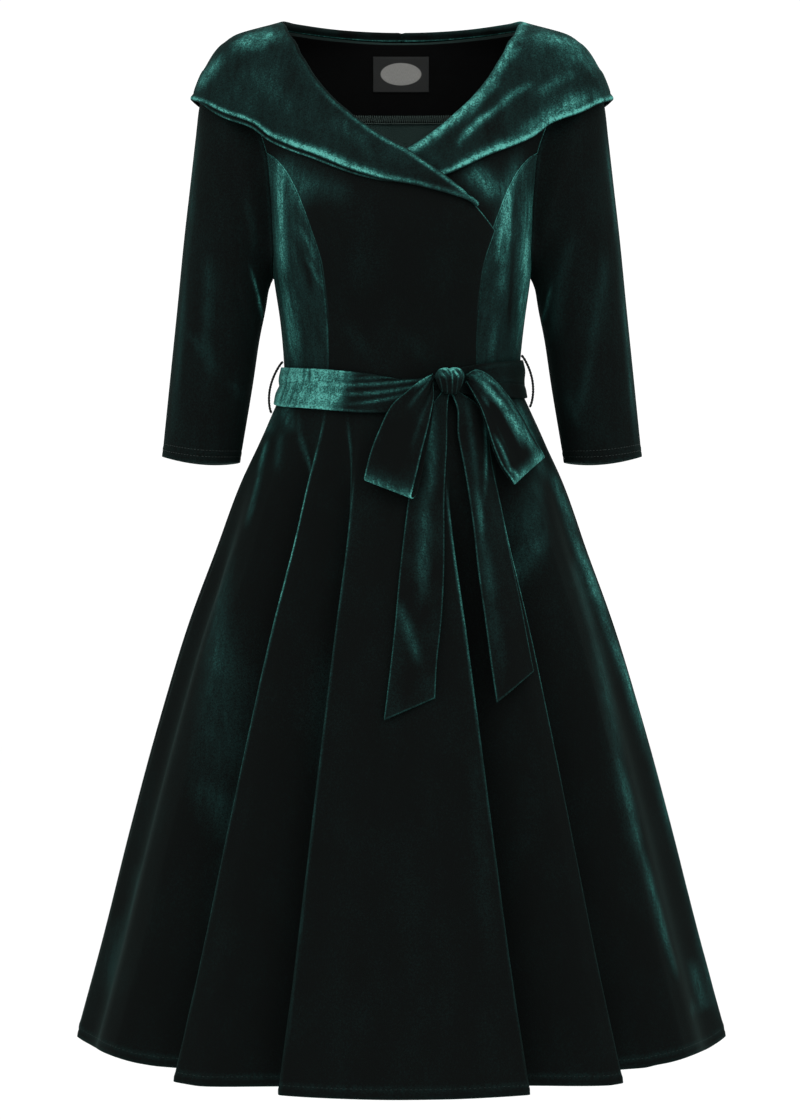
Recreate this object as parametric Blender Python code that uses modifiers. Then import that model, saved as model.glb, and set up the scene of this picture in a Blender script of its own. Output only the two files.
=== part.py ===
"""A swing dress in dark green velvet, filled out as if worn, with nobody inside.

Metres, +Z up, the front faces -Y. Left is -X, as for someone who looks at the front.
The origin is the middle of the neck opening, at the height of its shoulder edges.

The bodice lies on one hollow body form, the skirt on one flared form with hanging folds.
Every panel is a grid of points on a form, given its cloth thickness inwards. Two numbers
place a point on a form: its turn, the angle from centre front (positive towards +X, half a
turn at centre back), and its drop, how far it is below the origin.
"""
import math

import bmesh
import bpy
import numpy as np

# Cloth
CLOTH = 0.0012          # one layer of velvet
TURNED = 0.0020         # two layers, sewn and turned out: collar, belt
SEAM = 0.0003           # gap between pieces at a seam
SEAM_TURN = 0.0012      # half the same gap at the sides of the body form, as a turn
SHOULDER_TURN = 0.0055  # and at the shoulder, where the form is flatter
NECK_SEAM = 0.0010      # gap between collar and bodice, under the collar
CLEAR = 0.0005          # gap between layers that lie on each other
COLLAR_CLEAR = 0.0026   # and under the collar's fall

# Levels, as drops below the origin
WAIST = 0.3725
HEM = 1.0415
HEM_SWING = 0.0055      # front and back hang lower than the sides by twice this
HEM_LIFT = {"height": 0.0110, "turn": 68.0, "spread": 16.0}  # it rises a little before the sides
STAND = 0.0093          # height of the collar's stand, from its fold to the neck seam
SHOULDER_TIP = 0.032
UNDERARM = 0.262

HALF = math.pi / 2


def table(names, *rows):
    """Named columns out of rows of numbers."""
    return {name: np.array(column) for name, column in zip(names.split(), zip(*rows))}


TORSO = table(
    "drop half_width front back square",
    (-0.006, 0.1000, 0.022, 0.0800, 2.00),
    (0.000, 0.1100, 0.026, 0.0830, 2.00),
    (0.003, 0.1170, 0.030, 0.0845, 2.00),
    (0.008, 0.1310, 0.036, 0.0865, 2.05),
    (0.014, 0.1470, 0.043, 0.0885, 2.10),
    (0.022, 0.1630, 0.050, 0.0905, 2.15),
    (0.032, 0.1715, 0.057, 0.0930, 2.20),
    (0.055, 0.1765, 0.065, 0.0965, 2.25),
    (0.085, 0.1720, 0.076, 0.0995, 2.30),
    (0.115, 0.1610, 0.088, 0.1015, 2.30),
    (0.139, 0.1520, 0.098, 0.1020, 2.30),
    (0.165, 0.1450, 0.108, 0.1015, 2.30),
    (0.195, 0.1390, 0.117, 0.1000, 2.30),
    (0.215, 0.1365, 0.120, 0.0980, 2.30),
    (0.240, 0.1335, 0.118, 0.0940, 2.30),
    (0.265, 0.1302, 0.113, 0.0900, 2.30),
    (0.310, 0.1236, 0.102, 0.0830, 2.20),
    (0.350, 0.1203, 0.0965, 0.0805, 2.05),
    (0.3725, 0.1196, 0.0962, 0.0805, 2.00),
    (0.380, 0.1196, 0.0960, 0.0805, 2.00),
)
BUST = {"drop": 0.212, "side": 0.066, "height": 0.055, "width": 0.044, "rise": 0.009}

SKIRT = table(
    "drop half_width front back",
    (0.3725, 0.1196, 0.0962, 0.0805),
    (0.393, 0.1290, 0.1050, 0.0900),
    (0.430, 0.1462, 0.1200, 0.1060),
    (0.465, 0.1630, 0.1340, 0.1210),
    (0.540, 0.1910, 0.1630, 0.1510),
    (0.612, 0.2178, 0.1870, 0.1770),
    (0.710, 0.2482, 0.2130, 0.2050),
    (0.825, 0.2800, 0.2390, 0.2320),
    (0.928, 0.3065, 0.2620, 0.2560),
    (1.050, 0.3405, 0.2890, 0.2830),
)

# Hanging folds. Turns are in degrees, of each valley at the waist and at the hem; spread is
# half its width in degrees, depth how far it goes in at the hem, tuck how far its floor
# slides sideways there (positive towards +X), and start the drop where it begins.
FOLDS = table(
    "at_waist at_hem spread depth tuck start",
    (-40.5, -48.0, 9.0, 0.050, 0.043, 0.372),
    (-22.8, -27.0, 8.0, 0.042, 0.038, 0.385),
    (20.5, 28.0, 8.0, 0.044, -0.038, 0.395),
    (40.5, 46.8, 9.0, 0.050, -0.043, 0.390),
    (-69.0, -72.0, 11.0, 0.012, 0.000, 0.420),
    (66.0, 69.0, 11.0, 0.013, 0.000, 0.395),
    (-85.0, -88.0, 9.5, 0.032, 0.014, 0.390),
    (85.0, 87.0, 9.5, 0.030, -0.012, 0.410),
    (106.0, 108.0, 9.5, 0.044, -0.026, 0.380),
    (128.0, 129.0, 10.0, 0.038, 0.018, 0.400),
    (150.0, 150.0, 9.5, 0.048, -0.030, 0.375),
    (170.0, 171.0, 9.0, 0.040, 0.024, 0.390),
    (193.0, 193.0, 9.5, 0.050, 0.030, 0.380),
    (215.0, 214.0, 10.0, 0.038, -0.018, 0.410),
    (236.0, 235.0, 9.5, 0.046, 0.028, 0.375),
    (256.0, 254.0, 9.0, 0.036, -0.016, 0.390),
)
FOLD_FORMS = 0.17       # a fold takes this much drop to reach its full form

# Seam lines of the bodice on one half; aside is the distance from the middle plane
PRINCESS = table(
    "drop aside",
    (0.138, 0.1375), (0.155, 0.1215), (0.175, 0.1095), (0.200, 0.0990), (0.225, 0.0900),
    (0.255, 0.0805), (0.280, 0.0770), (0.320, 0.0735), (0.380, 0.0735),
)
ARMHOLE = table(
    "drop front_turn back_turn",
    (0.032, 90.0, 90.0), (0.045, 78.0, 102.0), (0.065, 69.0, 110.0), (0.095, 64.5, 114.0),
    (0.139, 63.0, 116.0), (0.185, 69.0, 113.0), (0.215, 72.5, 109.0), (0.245, 78.0, 101.0),
    (0.262, 90.0, 90.0),
)

# Sleeve rings from the shoulder to the hem: outer and inner point of each, half its depth,
# the depth's middle, and how far its front and back bow in towards the body
SLEEVE = table(
    "outer_x outer_drop inner_x inner_drop depth middle bow",
    (0.1770, 0.0340, 0.1312, 0.2622, 0.062, 0.004, 0.020),
    (0.1880, 0.0450, 0.1320, 0.2635, 0.059, 0.003, 0.013),
    (0.1985, 0.0620, 0.1328, 0.2650, 0.057, 0.002, 0.007),
    (0.2062, 0.0850, 0.1334, 0.2665, 0.055, 0.001, 0.003),
    (0.2104, 0.1200, 0.1342, 0.2690, 0.0535, 0.000, 0.000),
    (0.2160, 0.1700, 0.1362, 0.2760, 0.052, -0.001, 0.000),
    (0.2222, 0.2250, 0.1392, 0.2950, 0.0500, -0.002, 0.000),
    (0.2285, 0.2900, 0.1455, 0.3270, 0.0475, -0.003, 0.000),
    (0.2355, 0.3600, 0.1525, 0.3750, 0.0440, -0.005, 0.000),
    (0.2440, 0.4440, 0.1650, 0.4500, 0.0390, -0.006, 0.000),
)
CUFF_SAG = 0.004        # front and back of the sleeve hem hang lower than its sides

# Collar sections on the left half, from centre back to the wrap end: turns (in degrees) and
# drops of the fold line and of the outer edge, and how far the edge stands off the body.
# The neck edge of the wrapped front goes on along the fold line to the last row.
COLLAR = table(
    "fold_turn fold_drop edge_turn edge_drop edge_off hang",
    (-180.0, -0.003, -180.0, 0.095, 0.0055, 1.0),
    (-152.0, -0.0025, -151.0, 0.094, 0.0060, 1.0),
    (-124.0, -0.001, -124.0, 0.090, 0.0140, 1.2),
    (-105.0, 0.001, -106.0, 0.081, 0.0320, 1.4),
    (-90.0, 0.003, -90.0, 0.0730, 0.0405, 1.5),
    (-57.0, 0.0105, -77.0, 0.081, 0.0390, 1.4),
    (-38.8, 0.026, -66.0, 0.098, 0.0280, 1.2),
    (-31.4, 0.046, -57.5, 0.112, 0.0160, 1.0),
    (-25.8, 0.069, -52.5, 0.126, 0.0085, 1.0),
    (-20.2, 0.0905, -43.5, 0.138, 0.0065, 1.0),
    (-15.5, 0.1055, -33.0, 0.149, 0.0058, 1.0),
    (-11.4, 0.118, -24.5, 0.160, 0.0055, 1.0),
    (-5.8, 0.132, -16.0, 0.171, 0.0052, 1.0),
    (-0.4, 0.144, -7.5, 0.179, 0.0050, 1.0),
    (5.5, 0.158, 1.0, 0.184, 0.0046, 1.0),
    (13.6, 0.174, 9.5, 0.190, 0.0048, 1.0),
    (19.7, 0.186, 16.8, 0.195, 0.0050, 1.0),
    (26.7, 0.199, 25.7, 0.2025, 0.0052, 1.0),
    (39.0, 0.2234, 39.0, 0.2240, 0.0052, 1.0),
)
FALL_CURVE = 2.1            # power by which the fall comes off the body towards its edge
SHOULDER_ROW = 4
SECTION = 4 / 7             # step between collar sections, in rows
COLLAR_SECTIONS = 31        # to the upper collar's wrap end
UNDER_COLLAR_SECTIONS = 27  # to the lower collar's hidden end
CROSSING = {"x": 0.022, "drop": 0.166, "reach": 0.066, "rise": 0.0040}
OVERLAP = 0.0031            # how far the upper front lies over the lower one

FACING_DROP = 0.089
LABEL = {"x": -0.0010, "width": 0.0590, "top": 0.0205, "height": 0.0365, "thick": 0.0010}

# Upper and lower edge of the tied belt round the waist
BELT = table(
    "turn top bottom",
    (-90.0, 0.352, 0.391), (-60.0, 0.356, 0.397), (-35.0, 0.360, 0.402),
    (-15.0, 0.365, 0.406), (3.0, 0.371, 0.404), (16.0, 0.366, 0.393),
    (26.0, 0.359, 0.387), (38.0, 0.354, 0.389), (55.0, 0.350, 0.388),
    (75.0, 0.3465, 0.386), (90.0, 0.345, 0.385), (180.0, 0.348, 0.388),
    (270.0, 0.352, 0.391),
)
BELT_EASE = 0.0037          # the belt's inside lies this far off the waist over the wrap
BELT_HUG = 0.0010           # and this far at its edges round the sides and back,
BELT_BULGE = 0.0032         # where its middle stands out by this much more
KNOT = {"x": 0.0470, "drop": 0.3705, "width": 0.030, "height": 0.022, "depth": 0.017}

# Bow loops and tails: both side edges of the strip in sections that go away from the knot,
# and off, the distance from the skirt's fold crests to the strip's outer face
BOW_LEFT = table(
    "edge_a drop_a edge_b drop_b off",
    (0.0298, 0.3655, 0.0300, 0.3750, 0.0125),
    (0.0195, 0.3715, 0.0310, 0.3905, 0.0165),
    (0.0030, 0.3850, 0.0285, 0.4060, 0.0195),
    (-0.0120, 0.3995, 0.0250, 0.4220, 0.0205),
    (-0.0235, 0.4240, 0.0195, 0.4430, 0.0205),
    (-0.0315, 0.4460, 0.0150, 0.4620, 0.0200),
    (-0.0368, 0.4680, 0.0090, 0.4860, 0.0185),
)
BOW_RIGHT = table(
    "edge_a drop_a edge_b drop_b off",
    (0.0635, 0.3735, 0.0635, 0.3655, 0.0135),
    (0.0700, 0.3860, 0.0740, 0.3605, 0.0175),
    (0.0775, 0.4010, 0.0880, 0.3670, 0.0200),
    (0.0835, 0.4180, 0.1020, 0.3815, 0.0210),
    (0.0895, 0.4370, 0.1170, 0.4020, 0.0215),
    (0.0975, 0.4560, 0.1290, 0.4240, 0.0205),
    (0.1078, 0.4705, 0.1390, 0.4405, 0.0185),
)
BOW_BACK_OFF = 0.0092       # outer face of a loop's back layer, off the fold crests
BOW_BACK_SHIFT = {"left": (0.0060, -0.0030), "right": (-0.0020, 0.0010)}
TAIL_LEFT = table(
    "edge_a drop_a edge_b drop_b off",
    (0.0392, 0.3825, 0.0472, 0.3825, 0.0088),
    (0.0270, 0.4020, 0.0450, 0.3990, 0.0088),
    (0.0140, 0.4400, 0.0440, 0.4380, 0.0050),
    (0.0060, 0.4900, 0.0412, 0.4900, 0.0042),
    (-0.0020, 0.5560, 0.0408, 0.5540, 0.0045),
    (-0.0070, 0.6110, 0.0380, 0.6040, 0.0042),
    (-0.0120, 0.6560, 0.0335, 0.6450, 0.0045),
    (-0.0175, 0.7010, 0.0315, 0.6800, 0.0048),
)
TAIL_RIGHT = table(
    "edge_a drop_a edge_b drop_b off",
    (0.0480, 0.3825, 0.0562, 0.3825, 0.0088),
    (0.0545, 0.4010, 0.0760, 0.3970, 0.0088),
    (0.0550, 0.4260, 0.0845, 0.4210, 0.0054),
    (0.0615, 0.4620, 0.0895, 0.4580, 0.0045),
    (0.0690, 0.5150, 0.0990, 0.5090, 0.0048),
    (0.0745, 0.5660, 0.1095, 0.5620, 0.0048),
    (0.0825, 0.6280, 0.1205, 0.6200, 0.0045),
    (0.0905, 0.6850, 0.1275, 0.6560, 0.0048),
)
TAIL_FOLD = 0.0030          # the right tail's lengthwise fold stands out by this

# Thread loops at the side seams: radius, turn, and how far they bow out; where each begins and ends
CARRIER = {"radius": 0.0012, "turn": 88.0, "bow": 0.0072}
CARRIER_DROPS = {"left": (0.3470, 0.3995), "right": (0.3405, 0.3935)}

VELVET = ("velvet", (0.010, 0.022, 0.020), 0.85)
VELVET_COLLAR = ("velvet collar", (0.012, 0.026, 0.024), 0.85)
VELVET_BELT = ("velvet belt", (0.016, 0.036, 0.032), 0.80)
FACING = ("black facing", (0.006, 0.007, 0.007), 0.90)
LABEL_CLOTH = ("woven label", (0.05, 0.055, 0.055), 0.60)


# ---- shapes as functions -------------------------------------------------------------

def smooth(xs, ys, x):
    """The smooth curve through the points (xs, ys), read at x: a cubic between each pair."""
    x = np.clip(x, xs[0], xs[-1])
    slope = np.gradient(ys, xs)
    i = np.clip(np.searchsorted(xs, x, side="right") - 1, 0, len(xs) - 2)
    step = xs[i + 1] - xs[i]
    s = (x - xs[i]) / step
    start = (1 + 2 * s) * (1 - s) ** 2 * ys[i] + s * (1 - s) ** 2 * step * slope[i]
    return start + s * s * (3 - 2 * s) * ys[i + 1] + s * s * (s - 1) * step * slope[i + 1]


def read(columns, key, name, at):
    return smooth(columns[key], columns[name], np.asarray(at, float))


def ease(low, high, x):
    """0 below low, 1 above high, smooth between."""
    s = np.clip((np.asarray(x, float) - low) / (high - low), 0, 1)
    return s * s * (3 - 2 * s)


def points(x, y, z):
    return np.stack(np.broadcast_arrays(x, y, z), axis=-1)


def unit(v):
    return v / np.linalg.norm(v, axis=-1, keepdims=True)


def oval(turn, half_width, front, back, square):
    """x and y at a turn round an oval, wider than round where square is over 2."""
    side, ahead = np.sin(turn), np.cos(turn)
    depth = np.where(ahead > 0, front, back)
    x = half_width * np.sign(side) * np.abs(side) ** (2 / square)
    return x, -depth * np.sign(ahead) * np.abs(ahead) ** (2 / square)


def torso_surface(turn, drop):
    """Stacked ovals, with a low rise on each side of the front at bust height."""
    size = [read(TORSO, "drop", name, drop) for name in ("half_width", "front", "back", "square")]
    x, y = oval(turn, *size)
    near = ((np.abs(x) - BUST["side"]) / BUST["width"]) ** 2
    near = near + ((drop - BUST["drop"]) / BUST["height"]) ** 2
    return points(x, y - BUST["rise"] * np.exp(-near) * (np.cos(turn) > 0), -drop)


def fold_offsets(turn, drop):
    """How far the folds take the skirt in, and sideways towards +X, at a turn and drop.

    Each valley is a squared cosine across its spread, and grows with the skirt's width.
    """
    inward = np.zeros(np.shape(turn))
    sideways = np.zeros(np.shape(turn))
    down = (drop - WAIST) / (HEM - WAIST)
    width = read(SKIRT, "drop", "half_width", drop) / SKIRT["half_width"][-1]
    for at_waist, at_hem, spread, depth, tuck, start in zip(*FOLDS.values()):
        centre = np.radians(at_waist + (at_hem - at_waist) * down)
        off = (turn - centre + math.pi) % (2 * math.pi) - math.pi
        shape = np.cos(np.clip(off / np.radians(spread), -1, 1) * HALF) ** 2
        shape = shape * width * ease(start, start + FOLD_FORMS, drop)
        inward += depth * shape
        sideways += tuck * shape
    return inward, sideways


def skirt_crests(turn, drop):
    """The flared form that touches the folds' crests."""
    size = [read(SKIRT, "drop", name, drop) for name in ("half_width", "front", "back")]
    x, y = oval(turn, *size, 2.0)
    return points(x, y, -drop)


def skirt_surface(turn, drop):
    """The flared form with its valleys pushed in and slid along it."""
    size = [read(SKIRT, "drop", name, drop) for name in ("half_width", "front", "back")]
    x, y = oval(turn, *size, 2.0)
    depth = np.where(np.cos(turn) > 0, size[1], size[2])
    out = unit(points(np.sin(turn) / size[0], -np.cos(turn) / depth, 0 * x))
    along = points(-out[..., 1], out[..., 0], 0 * x)
    inward, sideways = fold_offsets(turn, drop)
    return points(x, y, -drop) - inward[..., None] * out + sideways[..., None] * along


def on(surface, turn, drop, out=0.0):
    """Points of a surface, moved out along its normal."""
    turn, drop = np.broadcast_arrays(np.asarray(turn, float), np.asarray(drop, float))
    across = surface(turn + 1e-4, drop) - surface(turn - 1e-4, drop)
    down = surface(turn, drop + 1e-5) - surface(turn, drop - 1e-5)
    normal = unit(np.cross(down, across))
    return surface(turn, drop) + np.asarray(out)[..., None] * normal


def turn_at(x, drop):
    """The turn at which the front of the body form has this x."""
    wide = read(TORSO, "drop", "half_width", drop)
    square = read(TORSO, "drop", "square", drop)
    side = np.clip(np.abs(x) / wide, 0, 1) ** (square / 2)
    return np.sign(x) * np.arcsin(side)


def front_point(x, drop, off):
    """A point at this x in front of the waist or skirt, off its crests by a distance."""
    wide = read(SKIRT, "drop", "half_width", np.maximum(drop, WAIST))
    front = read(SKIRT, "drop", "front", np.maximum(drop, WAIST))
    foot = x
    for _ in range(8):
        lean = np.sqrt(1 - (foot / wide) ** 2)
        ahead = unit(points(foot / wide ** 2, -lean / front, 0 * x))
        foot = x - off * ahead[..., 0]
    return points(x, -front * lean + off * ahead[..., 1], -drop)


# ---- meshes --------------------------------------------------------------------------

def material(finish):
    name, colour, roughness = finish
    found = bpy.data.materials.get(name)
    if found:
        return found
    made = bpy.data.materials.new(name)
    made.use_nodes = True
    shader = made.node_tree.nodes["Principled BSDF"]
    shader.inputs["Base Color"].default_value = (*colour, 1)
    shader.inputs["Roughness"].default_value = roughness
    shader.inputs["Metallic"].default_value = 0
    return made


def place(name, data, finish):
    piece = bpy.data.objects.new(name, data)
    data.materials.append(material(finish))
    bpy.data.collections["swing dress"].objects.link(piece)
    return piece


def shell(name, grid, thick, finish, ring=False):
    """Cloth on a grid of points: rows go down, columns towards +X on the front.

    The grid is the outer face, and the thickness goes inwards.
    """
    rows, columns = grid.shape[:2]
    number = np.arange(rows * columns).reshape(rows, columns)
    if ring:
        number = np.concatenate([number, number[:, :1]], axis=1)
    corners = (number[:-1, :-1], number[1:, :-1], number[1:, 1:], number[:-1, 1:])
    faces = np.stack([c.ravel() for c in corners], axis=1)
    mesh = bpy.data.meshes.new(name)
    mesh.from_pydata(grid.reshape(-1, 3).tolist(), [], faces.tolist())
    mesh.shade_smooth()
    piece = place(name, mesh, finish)
    wall = piece.modifiers.new("cloth thickness", "SOLIDIFY")
    wall.thickness = thick
    wall.offset = -1
    wall.use_even_offset = False
    wall.use_quality_normals = True
    return piece


def mirrored(grid):
    """The same piece on the other side, with its faces still outwards."""
    return grid[:, ::-1] * np.array([-1, 1, 1])


def moved(grid, out):
    """The grid moved along its own normals."""
    return grid + out * unit(np.cross(np.gradient(grid, axis=0), np.gradient(grid, axis=1)))


def cut_level(grid, drop):
    """The grid's columns, cut at the drops given for each row and column."""
    column = [[np.interp(drop[:, i], -grid[:, i, 2], grid[:, i, axis]) for axis in range(3)]
              for i in range(grid.shape[1])]
    return np.array(column).transpose(2, 0, 1)


def patch(top, bottom, left, right):
    """Turns and drops inside four border lines (a Coons patch); left and right go down."""
    rows, columns = len(left), len(top)
    v = np.linspace(0, 1, rows)[:, None, None]
    u = np.linspace(0, 1, columns)[None, :, None]
    ruled = (1 - v) * top[None] + v * bottom[None] + (1 - u) * left[:, None] + u * right[:, None]
    corners = (1 - v) * ((1 - u) * top[0] + u * top[-1]) + v * ((1 - u) * bottom[0] + u * bottom[-1])
    return ruled - corners


def line(turns, drops):
    return points(turns, drops, 0.0)[..., :2]


def level(start, end, count):
    """A straight line of turns and drops from one border's end to another's."""
    return start + (end - start) * np.linspace(0, 1, count)[:, None]


# ---- seam lines ----------------------------------------------------------------------

def armhole_turn(drop, back=False):
    return np.radians(read(ARMHOLE, "drop", "back_turn" if back else "front_turn", drop))


def shifted(turn, drop, along):
    """The turn moved round the body by a length."""
    reach = np.linalg.norm(torso_surface(turn + 0.01, drop) - torso_surface(turn, drop), axis=-1)
    return turn + 0.01 * along / reach


def princess_turn(drop):
    return turn_at(read(PRINCESS, "drop", "aside", drop), drop)


def collar_rows(station):
    """The collar's sections between its rows, with angles in radians."""
    index = np.arange(len(COLLAR["hang"]))
    value = {name: smooth(index, column, station) for name, column in COLLAR.items()}
    value["fold_turn"] = np.radians(value["fold_turn"])
    value["edge_turn"] = np.radians(value["edge_turn"])
    return value


def from_fold(value, length):
    """Turn and drop at a length from the fold line, towards the collar's outer edge."""
    turn = value["edge_turn"] - value["fold_turn"]
    drop = value["edge_drop"] - value["fold_drop"]
    first = torso_surface(value["fold_turn"], value["fold_drop"])
    step = 0.04
    next_to = torso_surface(value["fold_turn"] + step * turn, value["fold_drop"] + step * drop)
    share = length * step / np.linalg.norm(next_to - first, axis=-1)
    return value["fold_turn"] + share * turn, value["fold_drop"] + share * drop


def stand_height(value):
    """The stand is lower where the collar runs out, and gone at the end of the neck edge."""
    reach = value["edge_drop"] - value["fold_drop"] + np.abs(value["edge_turn"] - value["fold_turn"]) / 8
    return np.clip(STAND * ease(0.0, 0.035, reach), 0.0006, STAND)


def neck_seam(first, last):
    """The seam between collar and bodice on the left half, from one collar row to another,
    with a corner at each collar section."""
    steps = math.floor((last - first) / SECTION + 0.01)
    inner = first + SECTION * np.arange(steps + 1)
    value = collar_rows(np.append(inner, last) if last - inner[-1] > 0.01 else inner)
    return line(*from_fold(value, stand_height(value) + NECK_SEAM))


def outer_rows(upper, lower):
    """Drops down the armhole from the shoulder tip, then down the princess seam."""
    meeting = PRINCESS["drop"][0] + 0.004
    return np.concatenate([
        np.linspace(SHOULDER_TIP, meeting, upper, endpoint=False),
        meeting + (WAIST - meeting) * np.linspace(0, 1, lower),
    ])


def outer_line(drop, gap):
    """Front armhole from the shoulder tip, then the princess seam to the waist (right half)."""
    meeting = PRINCESS["drop"][0] + 0.004
    turn = np.where(drop < meeting, armhole_turn(drop), princess_turn(np.maximum(drop, meeting)))
    turn[0] = HALF - SHOULDER_TURN
    return line(np.concatenate([turn[:1], shifted(turn[1:], drop[1:], -gap)]), drop)


# ---- bodice --------------------------------------------------------------------------

def wrap_lift(turn, drop):
    """How far the upper front stands off the body form, where the lower one lies beneath."""
    x = torso_surface(turn, drop)[..., 0]
    near = (x - CROSSING["x"]) ** 2 + (drop - CROSSING["drop"]) ** 2
    raised = OVERLAP - 0.0010 * ease(0.27, 0.34, drop)
    raised = raised + CROSSING["rise"] * np.exp(-near / CROSSING["reach"] ** 2)
    return raised * ease(-0.75, -0.15, turn)


def under_lift(turn, drop):
    """The lower front, drawn on the left half as the upper one is: flush at its own side,
    and inside the body form on the far side."""
    return -OVERLAP * ease(-0.45, 0.10, turn) + 0 * drop


def front_grid(upper, lower, columns, lift):
    """The left front: shoulder seam at the top, armhole and princess seam on the left, neck
    seam (its corners at collar sections) and the far princess seam on the right, waist seam
    at the bottom."""
    left = outer_line(outer_rows(upper, lower), SEAM / 2) * [-1, 1]
    neck = neck_seam(SHOULDER_ROW, len(COLLAR["hang"]) - 1)
    neck[0] = left[0, 0], neck[0, 1] + NECK_SEAM
    corners = neck[np.r_[0:3, 3:len(neck) - 1:2]] + [0, 2.5 * SEAM]
    drop = np.linspace(neck[-1, 1], WAIST, upper + lower - len(corners))
    far = line(shifted(princess_turn(drop), drop, -SEAM / 2), drop)
    right = np.concatenate([corners, far])
    where = patch(level(left[0], right[0], columns), level(left[-1], right[-1], columns),
                  left, right)
    turn, drop = where[..., 0], where[..., 1] - SEAM
    return on(torso_surface, turn, drop, lift(turn, drop))


def side_front_grid(upper, lower, columns):
    """Between the princess seam, the armhole and the side seam, on the right half."""
    drop = outer_rows(upper, lower)[upper:]
    inner = line(shifted(princess_turn(drop), drop, SEAM / 2), drop)
    side = np.where(drop < UNDERARM, armhole_turn(np.minimum(drop, UNDERARM)), HALF)
    outer = line(np.minimum(shifted(side, drop, -SEAM), HALF - SEAM_TURN), drop)
    where = patch(level(inner[0], outer[0], columns), level(inner[-1], outer[-1], columns),
                  inner, outer)
    return on(torso_surface, where[..., 0], where[..., 1] - SEAM)


def back_grid(rows, shoulder_columns):
    """The whole back, from the left armhole and side seam to the right ones."""
    drop = SHOULDER_TIP + (WAIST - SHOULDER_TIP) * np.linspace(0, 1, rows) ** 1.25
    side = np.where(drop < UNDERARM, armhole_turn(np.minimum(drop, UNDERARM), back=True), HALF)
    side = np.maximum(shifted(side, drop, SEAM), HALF + SEAM_TURN)
    side[0] = HALF + SHOULDER_TURN
    left = line(-side, drop)
    right = line(side - 2 * math.pi, drop)
    neck = neck_seam(0, SHOULDER_ROW)[::-1]
    neck[0, 0] = -HALF - SHOULDER_TURN
    shoulder = level(left[0], neck[0], shoulder_columns)
    first_half = np.concatenate([shoulder, neck[1:]])
    top = np.concatenate([first_half, (first_half * [-1, 1] - [2 * math.pi, 0])[::-1][1:]])
    where = patch(top, level(left[-1], right[-1], len(top)), left, right)
    grid = on(torso_surface, where[..., 0], where[..., 1] - SEAM)
    return grid[:, ::-1]


def add_bodice():
    over = front_grid(7, 11, 15, wrap_lift)
    shell("bodice_front_over", over, CLOTH, VELVET)
    under = mirrored(front_grid(7, 11, 13, under_lift))
    shell("bodice_front_under", under, CLOTH, VELVET)
    side = side_front_grid(7, 11, 6)
    shell("bodice_side_front_right", side, CLOTH, VELVET)
    shell("bodice_side_front_left", mirrored(side), CLOTH, VELVET)
    back = back_grid(14, 4)
    shell("bodice_back", back, CLOTH, VELVET)
    return back


# ---- sleeves -------------------------------------------------------------------------

def armhole_ring(angle):
    """The armhole on the right of the body form; angle 0 is its top, a quarter turn its front."""
    middle = (SHOULDER_TIP + UNDERARM) / 2
    drop = middle - (UNDERARM - SHOULDER_TIP) / 2 * np.cos(angle)
    turn = np.where(np.sin(angle) > 0, armhole_turn(drop), armhole_turn(drop, back=True))
    return torso_surface(turn, drop)


def sleeve_grid(around, down):
    """Rings from the armhole to the hem; the first lies along the armhole seam."""
    angle = math.pi / 2 - np.arange(around) / around * 2 * math.pi
    station = np.linspace(0, len(SLEEVE["depth"]) - 1, down)[:, None]
    index = np.arange(len(SLEEVE["depth"]))
    value = {name: smooth(index, column, station) for name, column in SLEEVE.items()}
    up = np.cos(angle)
    ahead = np.sin(angle)
    x = (value["outer_x"] + value["inner_x"]) / 2 + up * (value["outer_x"] - value["inner_x"]) / 2
    drop = (value["outer_drop"] + value["inner_drop"]) / 2
    drop = drop + up * (value["outer_drop"] - value["inner_drop"]) / 2
    x = x - value["bow"] * ahead ** 2
    y = value["middle"] - value["depth"] * ahead
    cuff = np.clip(station - station[-1] + 1.5, 0, None) / 1.5
    rings = points(x, y, -drop - CUFF_SAG * cuff * ahead ** 2)
    head = armhole_ring(angle)
    head = head + unit(rings[2] - head) * 3.5 * SEAM
    blend = 1 - ease(0, 2.2, station)[..., None]
    return rings * (1 - blend) + (head + (rings - rings[0])) * blend


def add_sleeves():
    grid = sleeve_grid(22, 12)
    shell("sleeve_right", grid, CLOTH, VELVET, ring=True)
    shell("sleeve_left", mirrored(grid), CLOTH, VELVET, ring=True)


# ---- collar, facing, label -----------------------------------------------------------

def collar_grid(sections, across, lift):
    """Sections from centre back to the wrap end. Each goes up the stand inside the neck,
    over the fold, and down the fall, which comes off the body form towards its edge."""
    value = collar_rows(np.arange(sections) * SECTION)
    value["fold_turn"][0] += 2 * SEAM_TURN
    value["edge_turn"][0] += 2 * SEAM_TURN
    stand = stand_height(value)
    turn_over = np.minimum(0.0028, stand * 0.4)

    def along(length, out):
        turn, drop = from_fold(value, length)
        return on(torso_surface, turn, drop, out + lift(turn, drop))

    fall_off = COLLAR_CLEAR + TURNED
    middle = (fall_off - TURNED) / 2
    section = [
        along(stand, -TURNED),
        along(turn_over, -TURNED),
        along(turn_over * 0.15, middle - 0.0016),
        along(turn_over * 0.15, middle + 0.0016),
    ]
    begin_turn, begin_drop = from_fold(value, turn_over)
    for s in np.linspace(0, 1, across):
        turn = begin_turn + (value["edge_turn"] - begin_turn) * s
        drop = begin_drop + (value["edge_drop"] - begin_drop) * s ** value["hang"]
        out = fall_off + (value["edge_off"] - fall_off) * s ** FALL_CURVE
        section.append(on(torso_surface, turn, drop, out + lift(turn, drop)))
    return np.stack(section)


def add_collar():
    over = collar_grid(COLLAR_SECTIONS, 6, wrap_lift)
    shell("collar_left", over, TURNED, VELVET_COLLAR)
    under = collar_grid(UNDER_COLLAR_SECTIONS, 6, under_lift)
    shell("collar_right", mirrored(under), TURNED, VELVET_COLLAR)


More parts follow.
